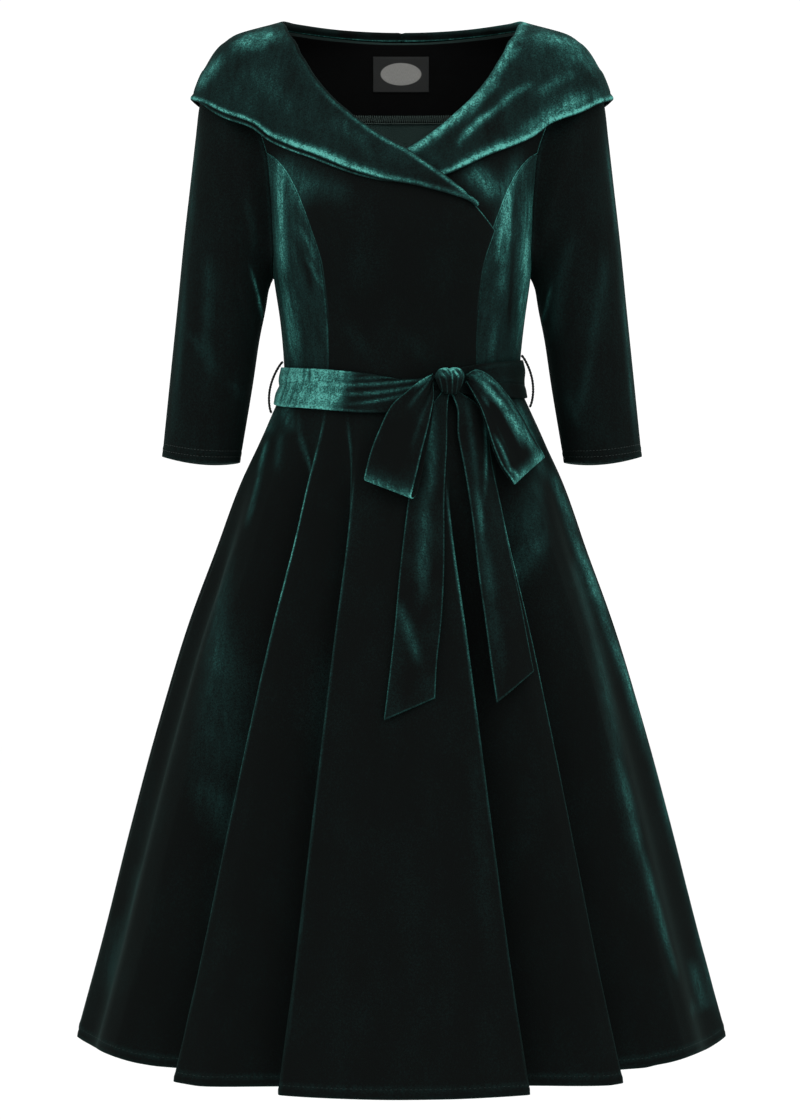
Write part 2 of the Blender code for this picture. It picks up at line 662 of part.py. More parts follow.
def add_neck_back(back):
    """The facing lies inside the back panel's own facets, the label on the facing's."""
    panel = back[:, 4:-4]
    from_back = np.linspace(-1, 1, panel.shape[1]) * math.radians(77)
    high = -panel[0, :, 2] + 0.0015
    low = FACING_DROP - 0.050 * ease(0.5, 1.35, np.abs(from_back))
    facing = cut_level(panel, high + (low - high) * np.linspace(0, 1, 6)[:, None])
    facing = moved(facing, -CLOTH - CLEAR)
    shell("back_neck_facing", facing, CLOTH, FACING)
    drop = LABEL["top"] + LABEL["height"] * np.linspace(0, 1, 4)[:, None]
    level_rows = cut_level(facing, drop + np.zeros(facing.shape[1]))
    x = LABEL["x"] + LABEL["width"] * np.linspace(0.5, -0.5, 7)
    y = [np.interp(x, row[::-1, 0], row[::-1, 1]) for row in level_rows]
    label = moved(points(x, np.array(y), -drop), -CLOTH - CLEAR)
    shell("back_neck_label", label, LABEL["thick"], LABEL_CLOTH)


# ---- skirt ---------------------------------------------------------------------------

def hem_turns(start, end, count):
    """Turns that cut the hem between two turns into equal lengths of cloth."""
    fine = np.linspace(start, end, 1500)
    hem = skirt_surface(fine, np.full(fine.shape, HEM))
    length = np.concatenate([[0], np.cumsum(np.linalg.norm(np.diff(hem, axis=0), axis=1))])
    return np.interp(np.linspace(0, length[-1], count), length, fine)


def hem_level(turn):
    """The hem's drop: a gentle swing between front, sides and back, less a bell before each side."""
    beside = np.degrees(np.arcsin(np.abs(np.sin(turn)))) - HEM_LIFT["turn"]
    rise = HEM_LIFT["height"] * np.exp(-(beside / HEM_LIFT["spread"]) ** 2)
    return HEM + HEM_SWING * np.cos(2 * turn) - rise


def skirt_grid(start, end, columns, rows):
    """Grain lines from the waist seam to the hem, drawn apart by half a seam at the sides."""
    turn = hem_turns(start, end, columns)[None, :]
    down = np.linspace(0, 1, rows)[:, None] ** 1.15
    drop = WAIST + SEAM + (hem_level(turn) - WAIST - SEAM) * down
    wide = read(SKIRT, "drop", "half_width", drop[:, :1])
    share = np.linspace(1, -1, columns)[None, :]
    return skirt_surface(turn + share * SEAM / 2 / wide, drop)


def add_skirt():
    shell("skirt_front", skirt_grid(-HALF, HALF, 64, 10), CLOTH, VELVET)
    shell("skirt_back", skirt_grid(HALF, 3 * HALF, 60, 10), CLOTH, VELVET)


# ---- belt ----------------------------------------------------------------------------

def belt_grid(around, rows):
    """A band that hugs the waist, eased over the wrap in front and bulging elsewhere as a sine."""
    turn = (-HALF + np.arange(around) / around * 2 * math.pi)[None, :]
    degrees = np.degrees(turn)
    top = smooth(BELT["turn"], BELT["top"], degrees)
    bottom = smooth(BELT["turn"], BELT["bottom"], degrees)
    share = np.linspace(0, 1, rows)[:, None]
    drop = top + (bottom - top) * share
    from_front = np.abs((degrees + 180) % 360 - 180)
    beside = ease(40, 65, from_front)
    hug = BELT_HUG + BELT_BULGE * np.sin(math.pi * share)
    out = TURNED + BELT_EASE + (hug - BELT_EASE) * beside
    body = on(torso_surface, turn, np.minimum(drop, WAIST), out)
    skirt = on(skirt_crests, turn, np.maximum(drop, WAIST), out)
    return np.where((drop < WAIST)[..., None], body, skirt)


def strip_points(sections, side, fractions, off=None, shift=(0.0, 0.0)):
    """A strip's points: along it by section, across it from edge a to edge b."""
    index = np.arange(len(sections["off"]))
    station = np.asarray(side, float)[:, None]
    value = {name: smooth(index, column, station) for name, column in sections.items()}
    x = value["edge_a"] + (value["edge_b"] - value["edge_a"]) * fractions + shift[0]
    drop = value["drop_a"] + (value["drop_b"] - value["drop_a"]) * fractions + shift[1]
    return front_point(x, drop, value["off"] if off is None else off)


def bow_grid(sections, shift, along, across):
    """Out from the knot in front, round the fold at the far end, and back beneath."""
    last = len(sections["off"]) - 1
    fractions = np.linspace(0, 1, across)[None, :]
    station = np.linspace(0, last, along)
    grown = ease(0, last, station)[:, None]
    front = strip_points(sections, station, fractions)
    back_off = np.asarray(BOW_BACK_OFF) + 0 * grown
    back = strip_points(sections, station, fractions, back_off)
    back[..., 0] += shift[0] * grown
    back[..., 2] -= shift[1] * grown
    beyond = unit(front[-1] - front[-2])
    middle = (front[-1] + back[-1]) / 2
    swing = np.linalg.norm(front[-1] - back[-1], axis=-1, keepdims=True) / 2
    turns = []
    for angle in np.radians([45, 90, 135]):
        arm = (front[-1] - middle) * math.cos(angle)
        turns.append(middle + arm + beyond * swing * math.sin(angle))
    return np.concatenate([front, np.stack(turns), back[::-1]])


def tail_grid(sections, along, across, fold):
    """A tail that hangs down the front of the skirt, with a lengthwise fold."""
    last = len(sections["off"]) - 1
    fractions = np.linspace(0, 1, across)[None, :]
    station = np.linspace(0, last, along)
    grown = ease(0.3, 2.0, station)[:, None]
    index = np.arange(last + 1)
    off = smooth(index, sections["off"], station[:, None]) + 0 * fractions
    off = off + fold * grown * np.sin(fractions * math.pi) ** 2
    return strip_points(sections, station, fractions, off)


def add_knot():
    """A soft pillow, wider in front, with the strip's ends pulled in at its sides."""
    at = front_point(np.array(KNOT["x"]), np.array(KNOT["drop"]), np.array(0.0))
    bm = bmesh.new()
    bmesh.ops.create_cube(bm, size=1.0)
    bmesh.ops.subdivide_edges(bm, edges=bm.edges[:], cuts=1, use_grid_fill=True)
    for vert in bm.verts:
        pinch = 1 - 0.25 * (vert.co.z < -0.1)
        vert.co.x *= KNOT["width"] * pinch * 1.12
        vert.co.y *= KNOT["depth"] * 1.05
        vert.co.z *= KNOT["height"] * 1.05
    mesh = bpy.data.meshes.new("belt_knot")
    bm.to_mesh(mesh)
    bm.free()
    mesh.shade_smooth()
    knot = place("belt_knot", mesh, VELVET_BELT)
    lift = BELT_EASE + TURNED + CLEAR + KNOT["depth"] * 0.70
    knot.location = (at[0], at[1] - lift, at[2])
    knot.rotation_euler = (0, 0, math.radians(14))
    soft = knot.modifiers.new("soft", "SUBSURF")
    soft.levels = 2
    soft.render_levels = 2


def carrier_path(side, share):
    """From above the belt to below it: a straight line that bows out as a power of a sine."""
    turn = np.radians(CARRIER["turn"]) * (1 if side == "right" else -1)
    begin, end = CARRIER_DROPS[side]
    out = CARRIER["radius"] + SEAM
    first = on(torso_surface, turn, begin, out)
    last = on(skirt_crests, turn, end, out)
    away = np.array([math.sin(turn), -math.cos(turn), 0.0])
    bow = CARRIER["bow"] * np.sin(math.pi * share) ** 0.7
    return first + (last - first) * share[:, None] + bow[:, None] * away


def add_carrier(side):
    """A thread loop at a side seam, which keeps the belt in its place."""
    path = carrier_path(side, np.linspace(0, 1, 13))
    curve = bpy.data.curves.new("belt_carrier_" + side, "CURVE")
    curve.dimensions = "3D"
    curve.bevel_depth = CARRIER["radius"]
    curve.bevel_resolution = 2
    curve.use_fill_caps = True
    spline = curve.splines.new("POLY")
    spline.points.add(len(path) - 1)
    for point, at in zip(spline.points, path):
        point.co = (*at, 1)
    place(curve.name, curve, VELVET_BELT)


def add_belt():
    shell("belt_band", belt_grid(48, 4), TURNED, VELVET_BELT, ring=True)
    add_knot()
    left = bow_grid(BOW_LEFT, BOW_BACK_SHIFT["left"], 9, 6)
    shell("bow_loop_left", left, TURNED, VELVET_BELT)
    right = bow_grid(BOW_RIGHT, BOW_BACK_SHIFT["right"], 9, 6)
    shell("bow_loop_right", right, TURNED, VELVET_BELT)
    shell("belt_tail_left", tail_grid(TAIL_LEFT, 13, 5, 0.0008), TURNED, VELVET_BELT)
    shell("belt_tail_right", tail_grid(TAIL_RIGHT, 13, 7, TAIL_FOLD), TURNED, VELVET_BELT)
    add_carrier("left")
    add_carrier("right")


def main():
    for old in list(bpy.data.objects):
        bpy.data.objects.remove(old, do_unlink=True)
    dress = bpy.data.collections.new("swing dress")
    bpy.context.scene.collection.children.link(dress)
    back = add_bodice()
    add_sleeves()
    add_collar()
    add_neck_back(back)
    add_skirt()
    add_belt()


main()
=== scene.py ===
"""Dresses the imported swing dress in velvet, with its folds, creases and sewing, in a plain studio.

Metres, +Z up, the front faces -Y, left is -X. The origin is the middle of the neck opening, at
the height of its shoulder edges. A turn is the angle round the body from centre front, positive
towards +X, and a drop is how far a point is below the origin.
"""
import math

import bpy
import numpy as np
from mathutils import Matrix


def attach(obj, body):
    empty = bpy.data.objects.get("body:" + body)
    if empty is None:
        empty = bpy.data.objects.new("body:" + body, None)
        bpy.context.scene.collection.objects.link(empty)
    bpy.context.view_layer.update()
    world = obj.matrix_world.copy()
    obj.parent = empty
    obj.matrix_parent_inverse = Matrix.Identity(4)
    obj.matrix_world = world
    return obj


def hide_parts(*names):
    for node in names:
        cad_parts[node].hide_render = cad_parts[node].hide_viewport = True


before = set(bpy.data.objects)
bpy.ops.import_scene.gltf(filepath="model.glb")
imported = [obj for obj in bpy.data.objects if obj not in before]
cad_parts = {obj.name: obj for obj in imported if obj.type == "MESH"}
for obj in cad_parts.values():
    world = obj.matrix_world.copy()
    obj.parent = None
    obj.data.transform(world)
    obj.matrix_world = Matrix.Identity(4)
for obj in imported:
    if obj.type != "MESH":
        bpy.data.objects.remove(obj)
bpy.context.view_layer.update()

bl_info = {
    "name": "Swing dress",
    "version": (1, 0, 0),
    "blender": (4, 5, 0),
    "location": "3D View > Sidebar > Dress",
    "description": "Velvet, folds, creases and sewing over the solids of a swing dress",
    "category": "Object",
}

HALF = math.pi / 2
SEAM = -0.0004          # panels press this far into each other at a seam, past their rounded edges
CLEAR = 0.0005          # gap between layers that lie on each other
WAIST = 0.3725          # drops of the waist seam, of the hem, and of the armhole's two ends
HEM = 1.0415
SHOULDER_TIP = 0.032
UNDERARM = 0.262
HEM_SWING = 0.0055      # front and back hang lower than the sides by twice this
HEM_LIFT = {"height": 0.0110, "turn": 68.0, "spread": 16.0}  # it rises a little before the sides


def table(names, *rows):
    """Named columns out of rows of numbers."""
    return {name: np.array(column) for name, column in zip(names.split(), zip(*rows))}


def marks(*rows):
    """Strokes on the cloth, in millimetres: from x0, drop0 to x1, drop1, how far they bow to one
    side, their width and how far they lift the cloth; then how much painted sheen they add, in
    hundredths, painted shade where that is negative, and which of their sides is the sharp one,
    where it isn't neither."""
    full = [(*np.array(row[:7]) / 1000, row[7] / 100, *(row[8:] or (0,))) for row in rows]
    return table("x0 drop0 x1 drop1 bow width depth light sharp", *full)


# ---- forms, as the solids have them ----

TORSO = table(
    "drop half_width front back square",
    (-0.006, 0.1, 0.022, 0.08, 2.0), (0.0, 0.11, 0.026, 0.083, 2.0),
    (0.003, 0.117, 0.03, 0.0845, 2.0), (0.008, 0.131, 0.036, 0.0865, 2.05),
    (0.014, 0.147, 0.043, 0.0885, 2.1), (0.022, 0.163, 0.05, 0.0905, 2.15),
    (0.032, 0.1715, 0.057, 0.093, 2.2), (0.055, 0.1765, 0.065, 0.0965, 2.25),
    (0.085, 0.172, 0.076, 0.0995, 2.3), (0.115, 0.161, 0.088, 0.1015, 2.3),
    (0.139, 0.152, 0.098, 0.102, 2.3), (0.165, 0.145, 0.108, 0.1015, 2.3),
    (0.195, 0.139, 0.117, 0.1, 2.3), (0.215, 0.1365, 0.12, 0.098, 2.3),
    (0.24, 0.1335, 0.118, 0.094, 2.3), (0.265, 0.1302, 0.113, 0.09, 2.3),
    (0.31, 0.1236, 0.102, 0.083, 2.2), (0.35, 0.1203, 0.0965, 0.0805, 2.05),
    (0.3725, 0.1196, 0.0962, 0.0805, 2.0), (0.38, 0.1196, 0.096, 0.0805, 2.0),
)

# A low rise on each side: where its top is, how far it reaches, and how high it is
BUST = {"drop": 0.212, "side": 0.066, "height": 0.055, "width": 0.044, "rise": 0.009}

SKIRT = table(
    "drop half_width front back",
    (0.3725, 0.1196, 0.0962, 0.0805), (0.393, 0.129, 0.105, 0.09), (0.43, 0.1462, 0.12, 0.106),
    (0.465, 0.163, 0.134, 0.121), (0.54, 0.191, 0.163, 0.151), (0.612, 0.2178, 0.187, 0.177),
    (0.71, 0.2482, 0.213, 0.205), (0.825, 0.28, 0.239, 0.232), (0.928, 0.3065, 0.262, 0.256),
    (1.05, 0.3405, 0.289, 0.283),
)

FOLDS = table(
    "at_waist at_hem spread depth tuck start",
    (-40.5, -48.0, 9.0, 0.05, 0.043, 0.372), (-22.8, -27.0, 8.0, 0.042, 0.038, 0.385),
    (20.5, 28.0, 8.0, 0.044, -0.038, 0.395), (40.5, 46.8, 9.0, 0.05, -0.043, 0.39),
    (-69.0, -72.0, 11.0, 0.012, 0.0, 0.42), (66.0, 69.0, 11.0, 0.013, 0.0, 0.395),
    (-85.0, -88.0, 9.5, 0.032, 0.014, 0.39), (85.0, 87.0, 9.5, 0.03, -0.012, 0.41),
    (106.0, 108.0, 9.5, 0.044, -0.026, 0.38), (128.0, 129.0, 10.0, 0.038, 0.018, 0.4),
    (150.0, 150.0, 9.5, 0.048, -0.03, 0.375), (170.0, 171.0, 9.0, 0.04, 0.024, 0.39),
    (193.0, 193.0, 9.5, 0.05, 0.03, 0.38), (215.0, 214.0, 10.0, 0.038, -0.018, 0.41),
    (236.0, 235.0, 9.5, 0.046, 0.028, 0.375), (256.0, 254.0, 9.0, 0.036, -0.016, 0.39),
)

FOLD_FORMS = 0.17       # a fold takes this much drop to reach its full form
PRINCESS_MEETS = 0.004  # the princess seam meets the armhole this far below its first row

PRINCESS = table(
    "drop aside",
    (0.138, 0.1375), (0.155, 0.1215), (0.175, 0.1095), (0.2, 0.099), (0.225, 0.09),
    (0.255, 0.0805), (0.28, 0.077), (0.32, 0.0735), (0.38, 0.0735),
)

ARMHOLE = table(
    "drop front_turn back_turn",
    (0.032, 90.0, 90.0), (0.045, 78.0, 102.0), (0.065, 69.0, 110.0), (0.095, 64.5, 114.0),
    (0.139, 63.0, 116.0), (0.185, 69.0, 113.0), (0.215, 72.5, 109.0), (0.245, 78.0, 101.0),
    (0.262, 90.0, 90.0),
)

SLEEVE = table(
    "outer_x outer_drop inner_x inner_drop depth middle bow",
    (0.1770, 0.0340, 0.1312, 0.2622, 0.062, 0.004, 0.020),
    (0.1880, 0.0450, 0.1320, 0.2635, 0.059, 0.003, 0.013),
    (0.1985, 0.0620, 0.1328, 0.2650, 0.057, 0.002, 0.007),
    (0.2062, 0.0850, 0.1334, 0.2665, 0.055, 0.001, 0.003),
    (0.2104, 0.1200, 0.1342, 0.2690, 0.0535, 0.000, 0.000),
    (0.2160, 0.1700, 0.1362, 0.2760, 0.052, -0.001, 0.000),
    (0.2222, 0.2250, 0.1392, 0.2950, 0.0500, -0.002, 0.000),
    (0.2285, 0.2900, 0.1455, 0.3270, 0.0475, -0.003, 0.000),
    (0.2355, 0.3600, 0.1525, 0.3750, 0.0440, -0.005, 0.000),
    (0.2440, 0.4440, 0.1650, 0.4500, 0.0390, -0.006, 0.000),
)

CUFF_SAG = 0.004        # front and back of the sleeve hem hang lower than its sides,
CUFF_ROWS = 1.5         # over these last rows of the table

COLLAR = table(
    "fold_turn fold_drop edge_turn edge_drop edge_off hang",
    (-180.0, -0.003, -180.0, 0.095, 0.0055, 1.0), (-152.0, -0.0025, -151.0, 0.094, 0.006, 1.0),
    (-124.0, -0.001, -124.0, 0.09, 0.014, 1.2), (-105.0, 0.001, -106.0, 0.081, 0.032, 1.4),
    (-90.0, 0.003, -90.0, 0.073, 0.0405, 1.5), (-57.0, 0.0105, -77.0, 0.081, 0.039, 1.4),
    (-38.8, 0.026, -66.0, 0.098, 0.028, 1.2), (-31.4, 0.046, -57.5, 0.112, 0.016, 1.0),
    (-25.8, 0.069, -52.5, 0.126, 0.0085, 1.0), (-20.2, 0.0905, -43.5, 0.138, 0.0065, 1.0),
    (-15.5, 0.1055, -33.0, 0.149, 0.0058, 1.0), (-11.4, 0.118, -24.5, 0.16, 0.0055, 1.0),
    (-5.8, 0.132, -16.0, 0.171, 0.0052, 1.0), (-0.4, 0.144, -7.5, 0.179, 0.005, 1.0),
    (5.5, 0.158, 1.0, 0.184, 0.0046, 1.0), (13.6, 0.174, 9.5, 0.19, 0.0048, 1.0),
    (19.7, 0.186, 16.8, 0.195, 0.005, 1.0), (26.7, 0.199, 25.7, 0.2025, 0.0052, 1.0),
    (39.0, 0.2234, 39.0, 0.224, 0.0052, 1.0),
)

# The upper front lies over the lower one by the overlap, a little less towards the waist, and by a
# rise more round the crossing; it comes over, and the lower one goes under, between these turns
OVERLAP = 0.0031
WRAP = {"less": 0.0010, "drops": (0.27, 0.34), "over": (-0.75, -0.15), "under": (-0.45, 0.10)}
CROSSING = {"x": 0.022, "drop": 0.166, "reach": 0.066, "rise": 0.0040}

# The label: its middle, width, top, height and thickness
LABEL = {"x": -0.0010, "width": 0.0590, "top": 0.0205, "height": 0.0365, "thick": 0.0010}

BELT = table(
    "turn top bottom",
    (-90.0, 0.352, 0.391), (-60.0, 0.356, 0.397), (-35.0, 0.36, 0.402), (-15.0, 0.365, 0.406),
    (3.0, 0.371, 0.404), (16.0, 0.366, 0.393), (26.0, 0.359, 0.387), (38.0, 0.354, 0.389),
    (55.0, 0.35, 0.388), (75.0, 0.3465, 0.386), (90.0, 0.345, 0.385), (180.0, 0.348, 0.388),
    (270.0, 0.352, 0.391),
)

KNOT = {"x": 0.0470, "drop": 0.3705, "width": 0.030, "height": 0.022, "depth": 0.017}

BOW_LEFT = table(
    "edge_a drop_a edge_b drop_b off",
    (0.0298, 0.3655, 0.03, 0.375, 0.0125), (0.0195, 0.3715, 0.031, 0.3905, 0.0165),
    (0.003, 0.385, 0.0285, 0.406, 0.0195), (-0.012, 0.3995, 0.025, 0.422, 0.0205),
    (-0.0235, 0.424, 0.0195, 0.443, 0.0205), (-0.0315, 0.446, 0.015, 0.462, 0.02),
    (-0.0368, 0.468, 0.009, 0.486, 0.0185),
)

BOW_RIGHT = table(
    "edge_a drop_a edge_b drop_b off",
    (0.0635, 0.3735, 0.0635, 0.3655, 0.0135), (0.07, 0.386, 0.074, 0.3605, 0.0175),
    (0.0775, 0.401, 0.088, 0.367, 0.02), (0.0835, 0.418, 0.102, 0.3815, 0.021),
    (0.0895, 0.437, 0.117, 0.402, 0.0215), (0.0975, 0.456, 0.129, 0.424, 0.0205),
    (0.1078, 0.4705, 0.139, 0.4405, 0.0185),
)

# How far the back layer of a loop is shifted at its far end, in x and drop
BOW_BACK_SHIFT = {"left": (0.0060, -0.0030), "right": (-0.0020, 0.0010)}

TAIL_LEFT = table(
    "edge_a drop_a edge_b drop_b off",
    (0.0392, 0.3825, 0.0472, 0.3825, 0.0088), (0.027, 0.402, 0.045, 0.399, 0.0088),
    (0.014, 0.44, 0.044, 0.438, 0.005), (0.006, 0.49, 0.0412, 0.49, 0.0042),
    (-0.002, 0.556, 0.0408, 0.554, 0.0045), (-0.007, 0.611, 0.038, 0.604, 0.0042),
    (-0.012, 0.656, 0.0335, 0.645, 0.0045), (-0.0175, 0.701, 0.0315, 0.68, 0.0048),
)

TAIL_RIGHT = table(
    "edge_a drop_a edge_b drop_b off",
    (0.048, 0.3825, 0.0562, 0.3825, 0.0088), (0.0545, 0.401, 0.076, 0.397, 0.0088),
    (0.055, 0.426, 0.0845, 0.421, 0.0054), (0.0615, 0.462, 0.0895, 0.458, 0.0045),
    (0.069, 0.515, 0.099, 0.509, 0.0048), (0.0745, 0.566, 0.1095, 0.562, 0.0048),
    (0.0825, 0.628, 0.1205, 0.62, 0.0045), (0.0905, 0.685, 0.1275, 0.656, 0.0048),
)

# Carriers: radius, turn, how far they bow out and how fully, and the drops where they begin and end
CARRIER = {"radius": 0.0012, "turn": 88.0, "bow": 0.0072, "full": 0.7}
CARRIER_DROPS = {"left": (0.3470, 0.3995), "right": (0.3405, 0.3935)}

NECK_SEAM = 0.0010      # gap between collar and bodice, under the collar
SEAM_TURN = -0.0016     # half of that at the sides of the body form, as a turn
SHOULDER_TURN = 0.0055  # and at the shoulder, where the form is flatter
TURNED = 0.0020         # two layers, sewn and turned out
COLLAR_CLEAR = 0.0026   # gap under the collar's fall
FALL_CURVE = 2.1        # power by which the fall comes off the body towards its edge
UNDER_GAP = 0.0007      # gap between the collar and its second edge
STAND = 0.0093          # height of the collar's stand,
STAND_LOW = 0.0006      # and at its end; it is full where the fall reaches this far
STAND_FULL = 0.035
SHOULDER_ROW = 4        # the collar's row at the shoulder seam
BELT_EASE = 0.0037      # the belt's inside is this far off the waist over the wrap,
BELT_HUG = 0.0010       # this far at its edges round the sides and back,
BELT_BULGE = 0.0032     # and its middle stands out by this much more there
BOW_BACK_OFF = 0.0092   # a loop's back layer is this far off the skirt
TAIL_FOLD = {"left": 0.0008, "right": 0.0030}   # how far a tail's lengthwise fold stands out
VIEW_HEIGHT = 1.1424            # what the camera sees of the middle plane, top to bottom
VIEW_MIDDLE = (-0.002, -0.549)  # x and height of the view's middle

# The hem's line beside each side seam, seen from the front at the middle plane
HEM_SEEN = table(
    "out drop",
    (0.243, 1.0662), (0.26, 1.064), (0.272, 1.0618), (0.286, 1.058), (0.296, 1.0545),
    (0.304, 1.0512), (0.311, 1.0477), (0.3195, 1.0428), (0.3275, 1.0375), (0.331, 1.0345),
)

# Painted highlight on the lips of the folds, in the order of FOLDS: its strength near the waist and lower
# down
LIP_LIGHT = table(
    "top low",
    (0.8, 0.46), (0.3, 0.3), (0.62, 0.42), (0.58, 0.44), (0.05, 0.1), (0.2, 0.25), (0.2, 0.15),
    (0.45, 0.35), (0.4, 0.3), (0.3, 0.22), (0.5, 0.34), (0.34, 0.28), (0.52, 0.3), (0.28, 0.24),
    (0.44, 0.32), (0.3, 0.2),
)

# Painted sheen along the collar by its rows: on the fold, along the rolled edge and how wide, and over
# the body of it
COLLAR_LIGHT = table(
    "row fold_left edge_left wide_left body_left fold_right edge_right wide_right body_right",
    (0.0, 0.30, 0.34, 0.0025, 0.08, 0.30, 0.34, 0.0025, 0.08),
    (2.0, 0.25, 0.40, 0.0025, 0.08, 0.30, 0.40, 0.0025, 0.08),
    (4.0, 0.12, 0.66, 0.0022, 0.10, 0.55, 0.66, 0.0026, 0.12),
    (6.0, 0.05, 0.62, 0.0018, 0.10, 0.52, 0.78, 0.0030, 0.11),
    (8.0, 0.10, 0.72, 0.0026, 0.08, 0.55, 0.80, 0.0036, 0.07),
    (9.0, 0.24, 0.92, 0.0044, 0.07, 0.60, 0.82, 0.0042, 0.07),
    (11.0, 0.34, 1.00, 0.0062, 0.07, 0.66, 0.76, 0.0042, 0.08),
    (13.0, 0.42, 0.70, 0.0050, 0.06, 0.56, 0.56, 0.0034, 0.08),
    (15.0, 0.48, 0.26, 0.0030, 0.05, 0.28, 0.20, 0.0025, 0.06),
    (17.2, 0.44, 0.10, 0.0020, 0.04, 0.26, 0.20, 0.0020, 0.06),
)
COLLAR_FOLD = {"at": 0.0012, "left": 0.0022, "right": 0.0062}   # where it is lit, and how wide

# Painted highlight streaks of a bow loop: place across at the knot and at the end, width, where it starts
# and ends, and how bright
BOW_LEFT_LIGHT = table(
    "at toward width start end light",
    (0.30, 0.45, 0.06, 0.05, 0.35, 0.25), (0.75, 0.80, 0.05, 0.20, 0.60, 0.12),
)
BOW_RIGHT_LIGHT = table(
    "at toward width start end light",
    (0.75, 0.60, 0.10, 0.05, 0.80, 0.42), (0.35, 0.30, 0.07, 0.30, 0.95, 0.28),
    (0.92, 0.88, 0.06, 0.15, 0.95, 0.30),
)

# Strokes on the hidden sides, like those in front: creases, with painted sheen and shade
BACK_MARKS = marks(
    (-95, 110, -85, 230, 4, 8, 1.2, 13, 1), (98, 120, 86, 240, -4, 7, 1.1, 16, -1),
    (-60, 250, -52, 345, 2, 6, 1, 14, 1), (48, 240, 56, 340, -2, 6, 1.1, 12, -1),
    (-4, 130, 3, 300, 3, 14, -.9, 0, 1), (-110, 290, -80, 335, 2, 4, 1, 14, -1),
    (108, 280, 82, 322, 2, 4, .9, 13, 1), (20, 320, 52, 342, 1, 3.5, .8, 11, -1),
)
SLEEVE_BACK_MARKS = marks(
    (-196, 90, -205, 230, 3, 6, 1.2, 15, 1), (-168, 200, -176, 330, -3, 6, 1.2, 14, -1),
    (-206, 300, -188, 345, 2, 4.5, -1.3, 1, 1), (-196, 345, -214, 420, 2, 6, 1, 10, -1),
    (192, 100, 203, 240, -3, 6.5, 1.2, 17, 1), (166, 210, 178, 340, 3, 5.5, 1.2, 13, -1),
    (210, 290, 188, 330, 2, 4.5, -1.3, 1, 1), (198, 350, 217, 425, 2, 6, 1, 11, -1),
)
COLLAR_BACK_MARKS = marks(
    (-80, 20, -60, 80, 3, 8, .8, 13, 1), (70, 24, 58, 84, -3, 9, .8, 14, -1),
    (-20, 30, -10, 85, 2, 10, -.6, 0, 1), (130, 30, 110, 70, 3, 8, .8, 14, -1),
    (-132, 34, -116, 72, 3, 8, .8, 13, 1),
)
SKIRT_BACK_MARKS = marks(
    (-60, 430, -100, 640, 3, 5.1, 1.2, 19, -1), (-105, 620, -130, 860, -3, 7.6, 1, 15, 1),
    (70, 440, 105, 610, -3, 4.7, 1.2, 21, -1), (112, 600, 150, 840, 3, 7.6, 1.1, 17, 1),
    (12, 450, 16, 700, 2, 5.9, .9, 12, -1), (-20, 560, -30, 900, 3, 10.2, -1, 0, 1),
    (-190, 560, -232, 800, 3, 5.9, 1, 17, -1), (-236, 780, -262, 980, 2, 6.8, 1, 14, 1),
    (196, 580, 240, 820, -3, 6.8, 1.1, 19, -1), (246, 800, 272, 1000, 2, 5.9, 1, 17, 1),
    (50, 800, 56, 1010, 3, 8.5, .8, 10, -1), (-70, 850, -84, 1020, 3, 7.6, .8, 11, 1),
    (-150, 880, -170, 1020, 2, 5.1, .9, 12, -1), (160, 900, 176, 1020, 2, 5.1, .9, 11, 1),
)

# Strokes in front: creases, with painted sheen and shade
SKIRT_MARKS = marks(
    (-135, 426, -143, 463, 0, 3, 1, 34), (-141, 457, -154, 515, 1, 3, .9, 28),
    (-171, 529, -183, 676, -2, 7.9, .7, 12), (-174, 588, -199, 781, -2, 9.9, .5, 10),
    (-103, 406, -115, 539, 2, 1.6, 1, 26), (-121, 419, -124, 460, 0, 3.9, .8, 16),
    (-133, 390, -138, 424, 0, 7.9, 0, 34), (-119, 392, -110, 422, 0, 6.9, 0, 26),
    (-55, 411, -58, 510, 1, 1.6, .9, 24), (-77, 405, -91, 467, 1, 1.5, .9, 34),
    (-94, 460, -112, 530, 1, 1.4, .6, 20), (-49, 405, -51, 461, 0, 3.9, -.8, 0),
    (-204, 763, -207, 834, 0, 4.9, .5, 14), (-207, 829, -223, 901, 0, 3.9, .7, 15),
    (-268, 852, -281, 910, 2, 6.9, .5, 10), (-279, 897, -302, 984, -3, 6.9, .6, 12),
    (-239, 549, -249, 631, 0, 5.9, -.8, 0), (112, 388, 134, 435, 0, 6.9, 0, 42),
    (128, 425, 145, 469, 0, 5.9, 0, 26), (131, 460, 136, 534, 0, 7.9, .8, 14),
    (140, 519, 141, 588, 0, 3.9, .8, 22), (141, 578, 146, 675, -2, 3, .7, 18),
    (151, 459, 176, 523, 0, 4.4, .9, 34), (170, 513, 210, 617, 1, 3.5, 1, 44),
    (206, 607, 248, 739, 2, 3.2, 1, 42), (175, 549, 192, 618, 0, 8.9, 0, 18),
    (192, 608, 215, 742, 0, 8.9, -.8, 20), (209, 733, 235, 843, 0, 5.9, .9, 30),
    (234, 833, 259, 921, 0, 4.9, 1, 30), (253, 904, 270, 956, 0, 3.9, .9, 24),
    (248, 730, 280, 850, 0, 3, .9, 34), (279, 841, 320, 1003, 0, 3.4, .9, 32),
    (297, 993, 316, 989, 0, 4.9, 0, 8), (295, 947, 308, 993, 0, 3.9, .6, 26),
    (285, 993, 299, 986, 0, 4.9, 0, 14), (111, 862, 123, 911, 0, 3.9, .6, 10),
    (120, 897, 133, 970, 0, 5.9, .5, 7), (-51, 461, -69, 607, 0, 11.8, 0, 4),
    (-2, 701, -6, 1011, 0, 19.7, -1, 0), (65, 682, 84, 959, 0, 7.9, .5, 3),
    (-162, 627, -181, 761, 0, 4.9, -.8, 0), (-98, 626, -116, 777, 0, 6.9, .8, 6),
    (233, 803, 243, 879, 0, 3.9, -.8, 0),
)
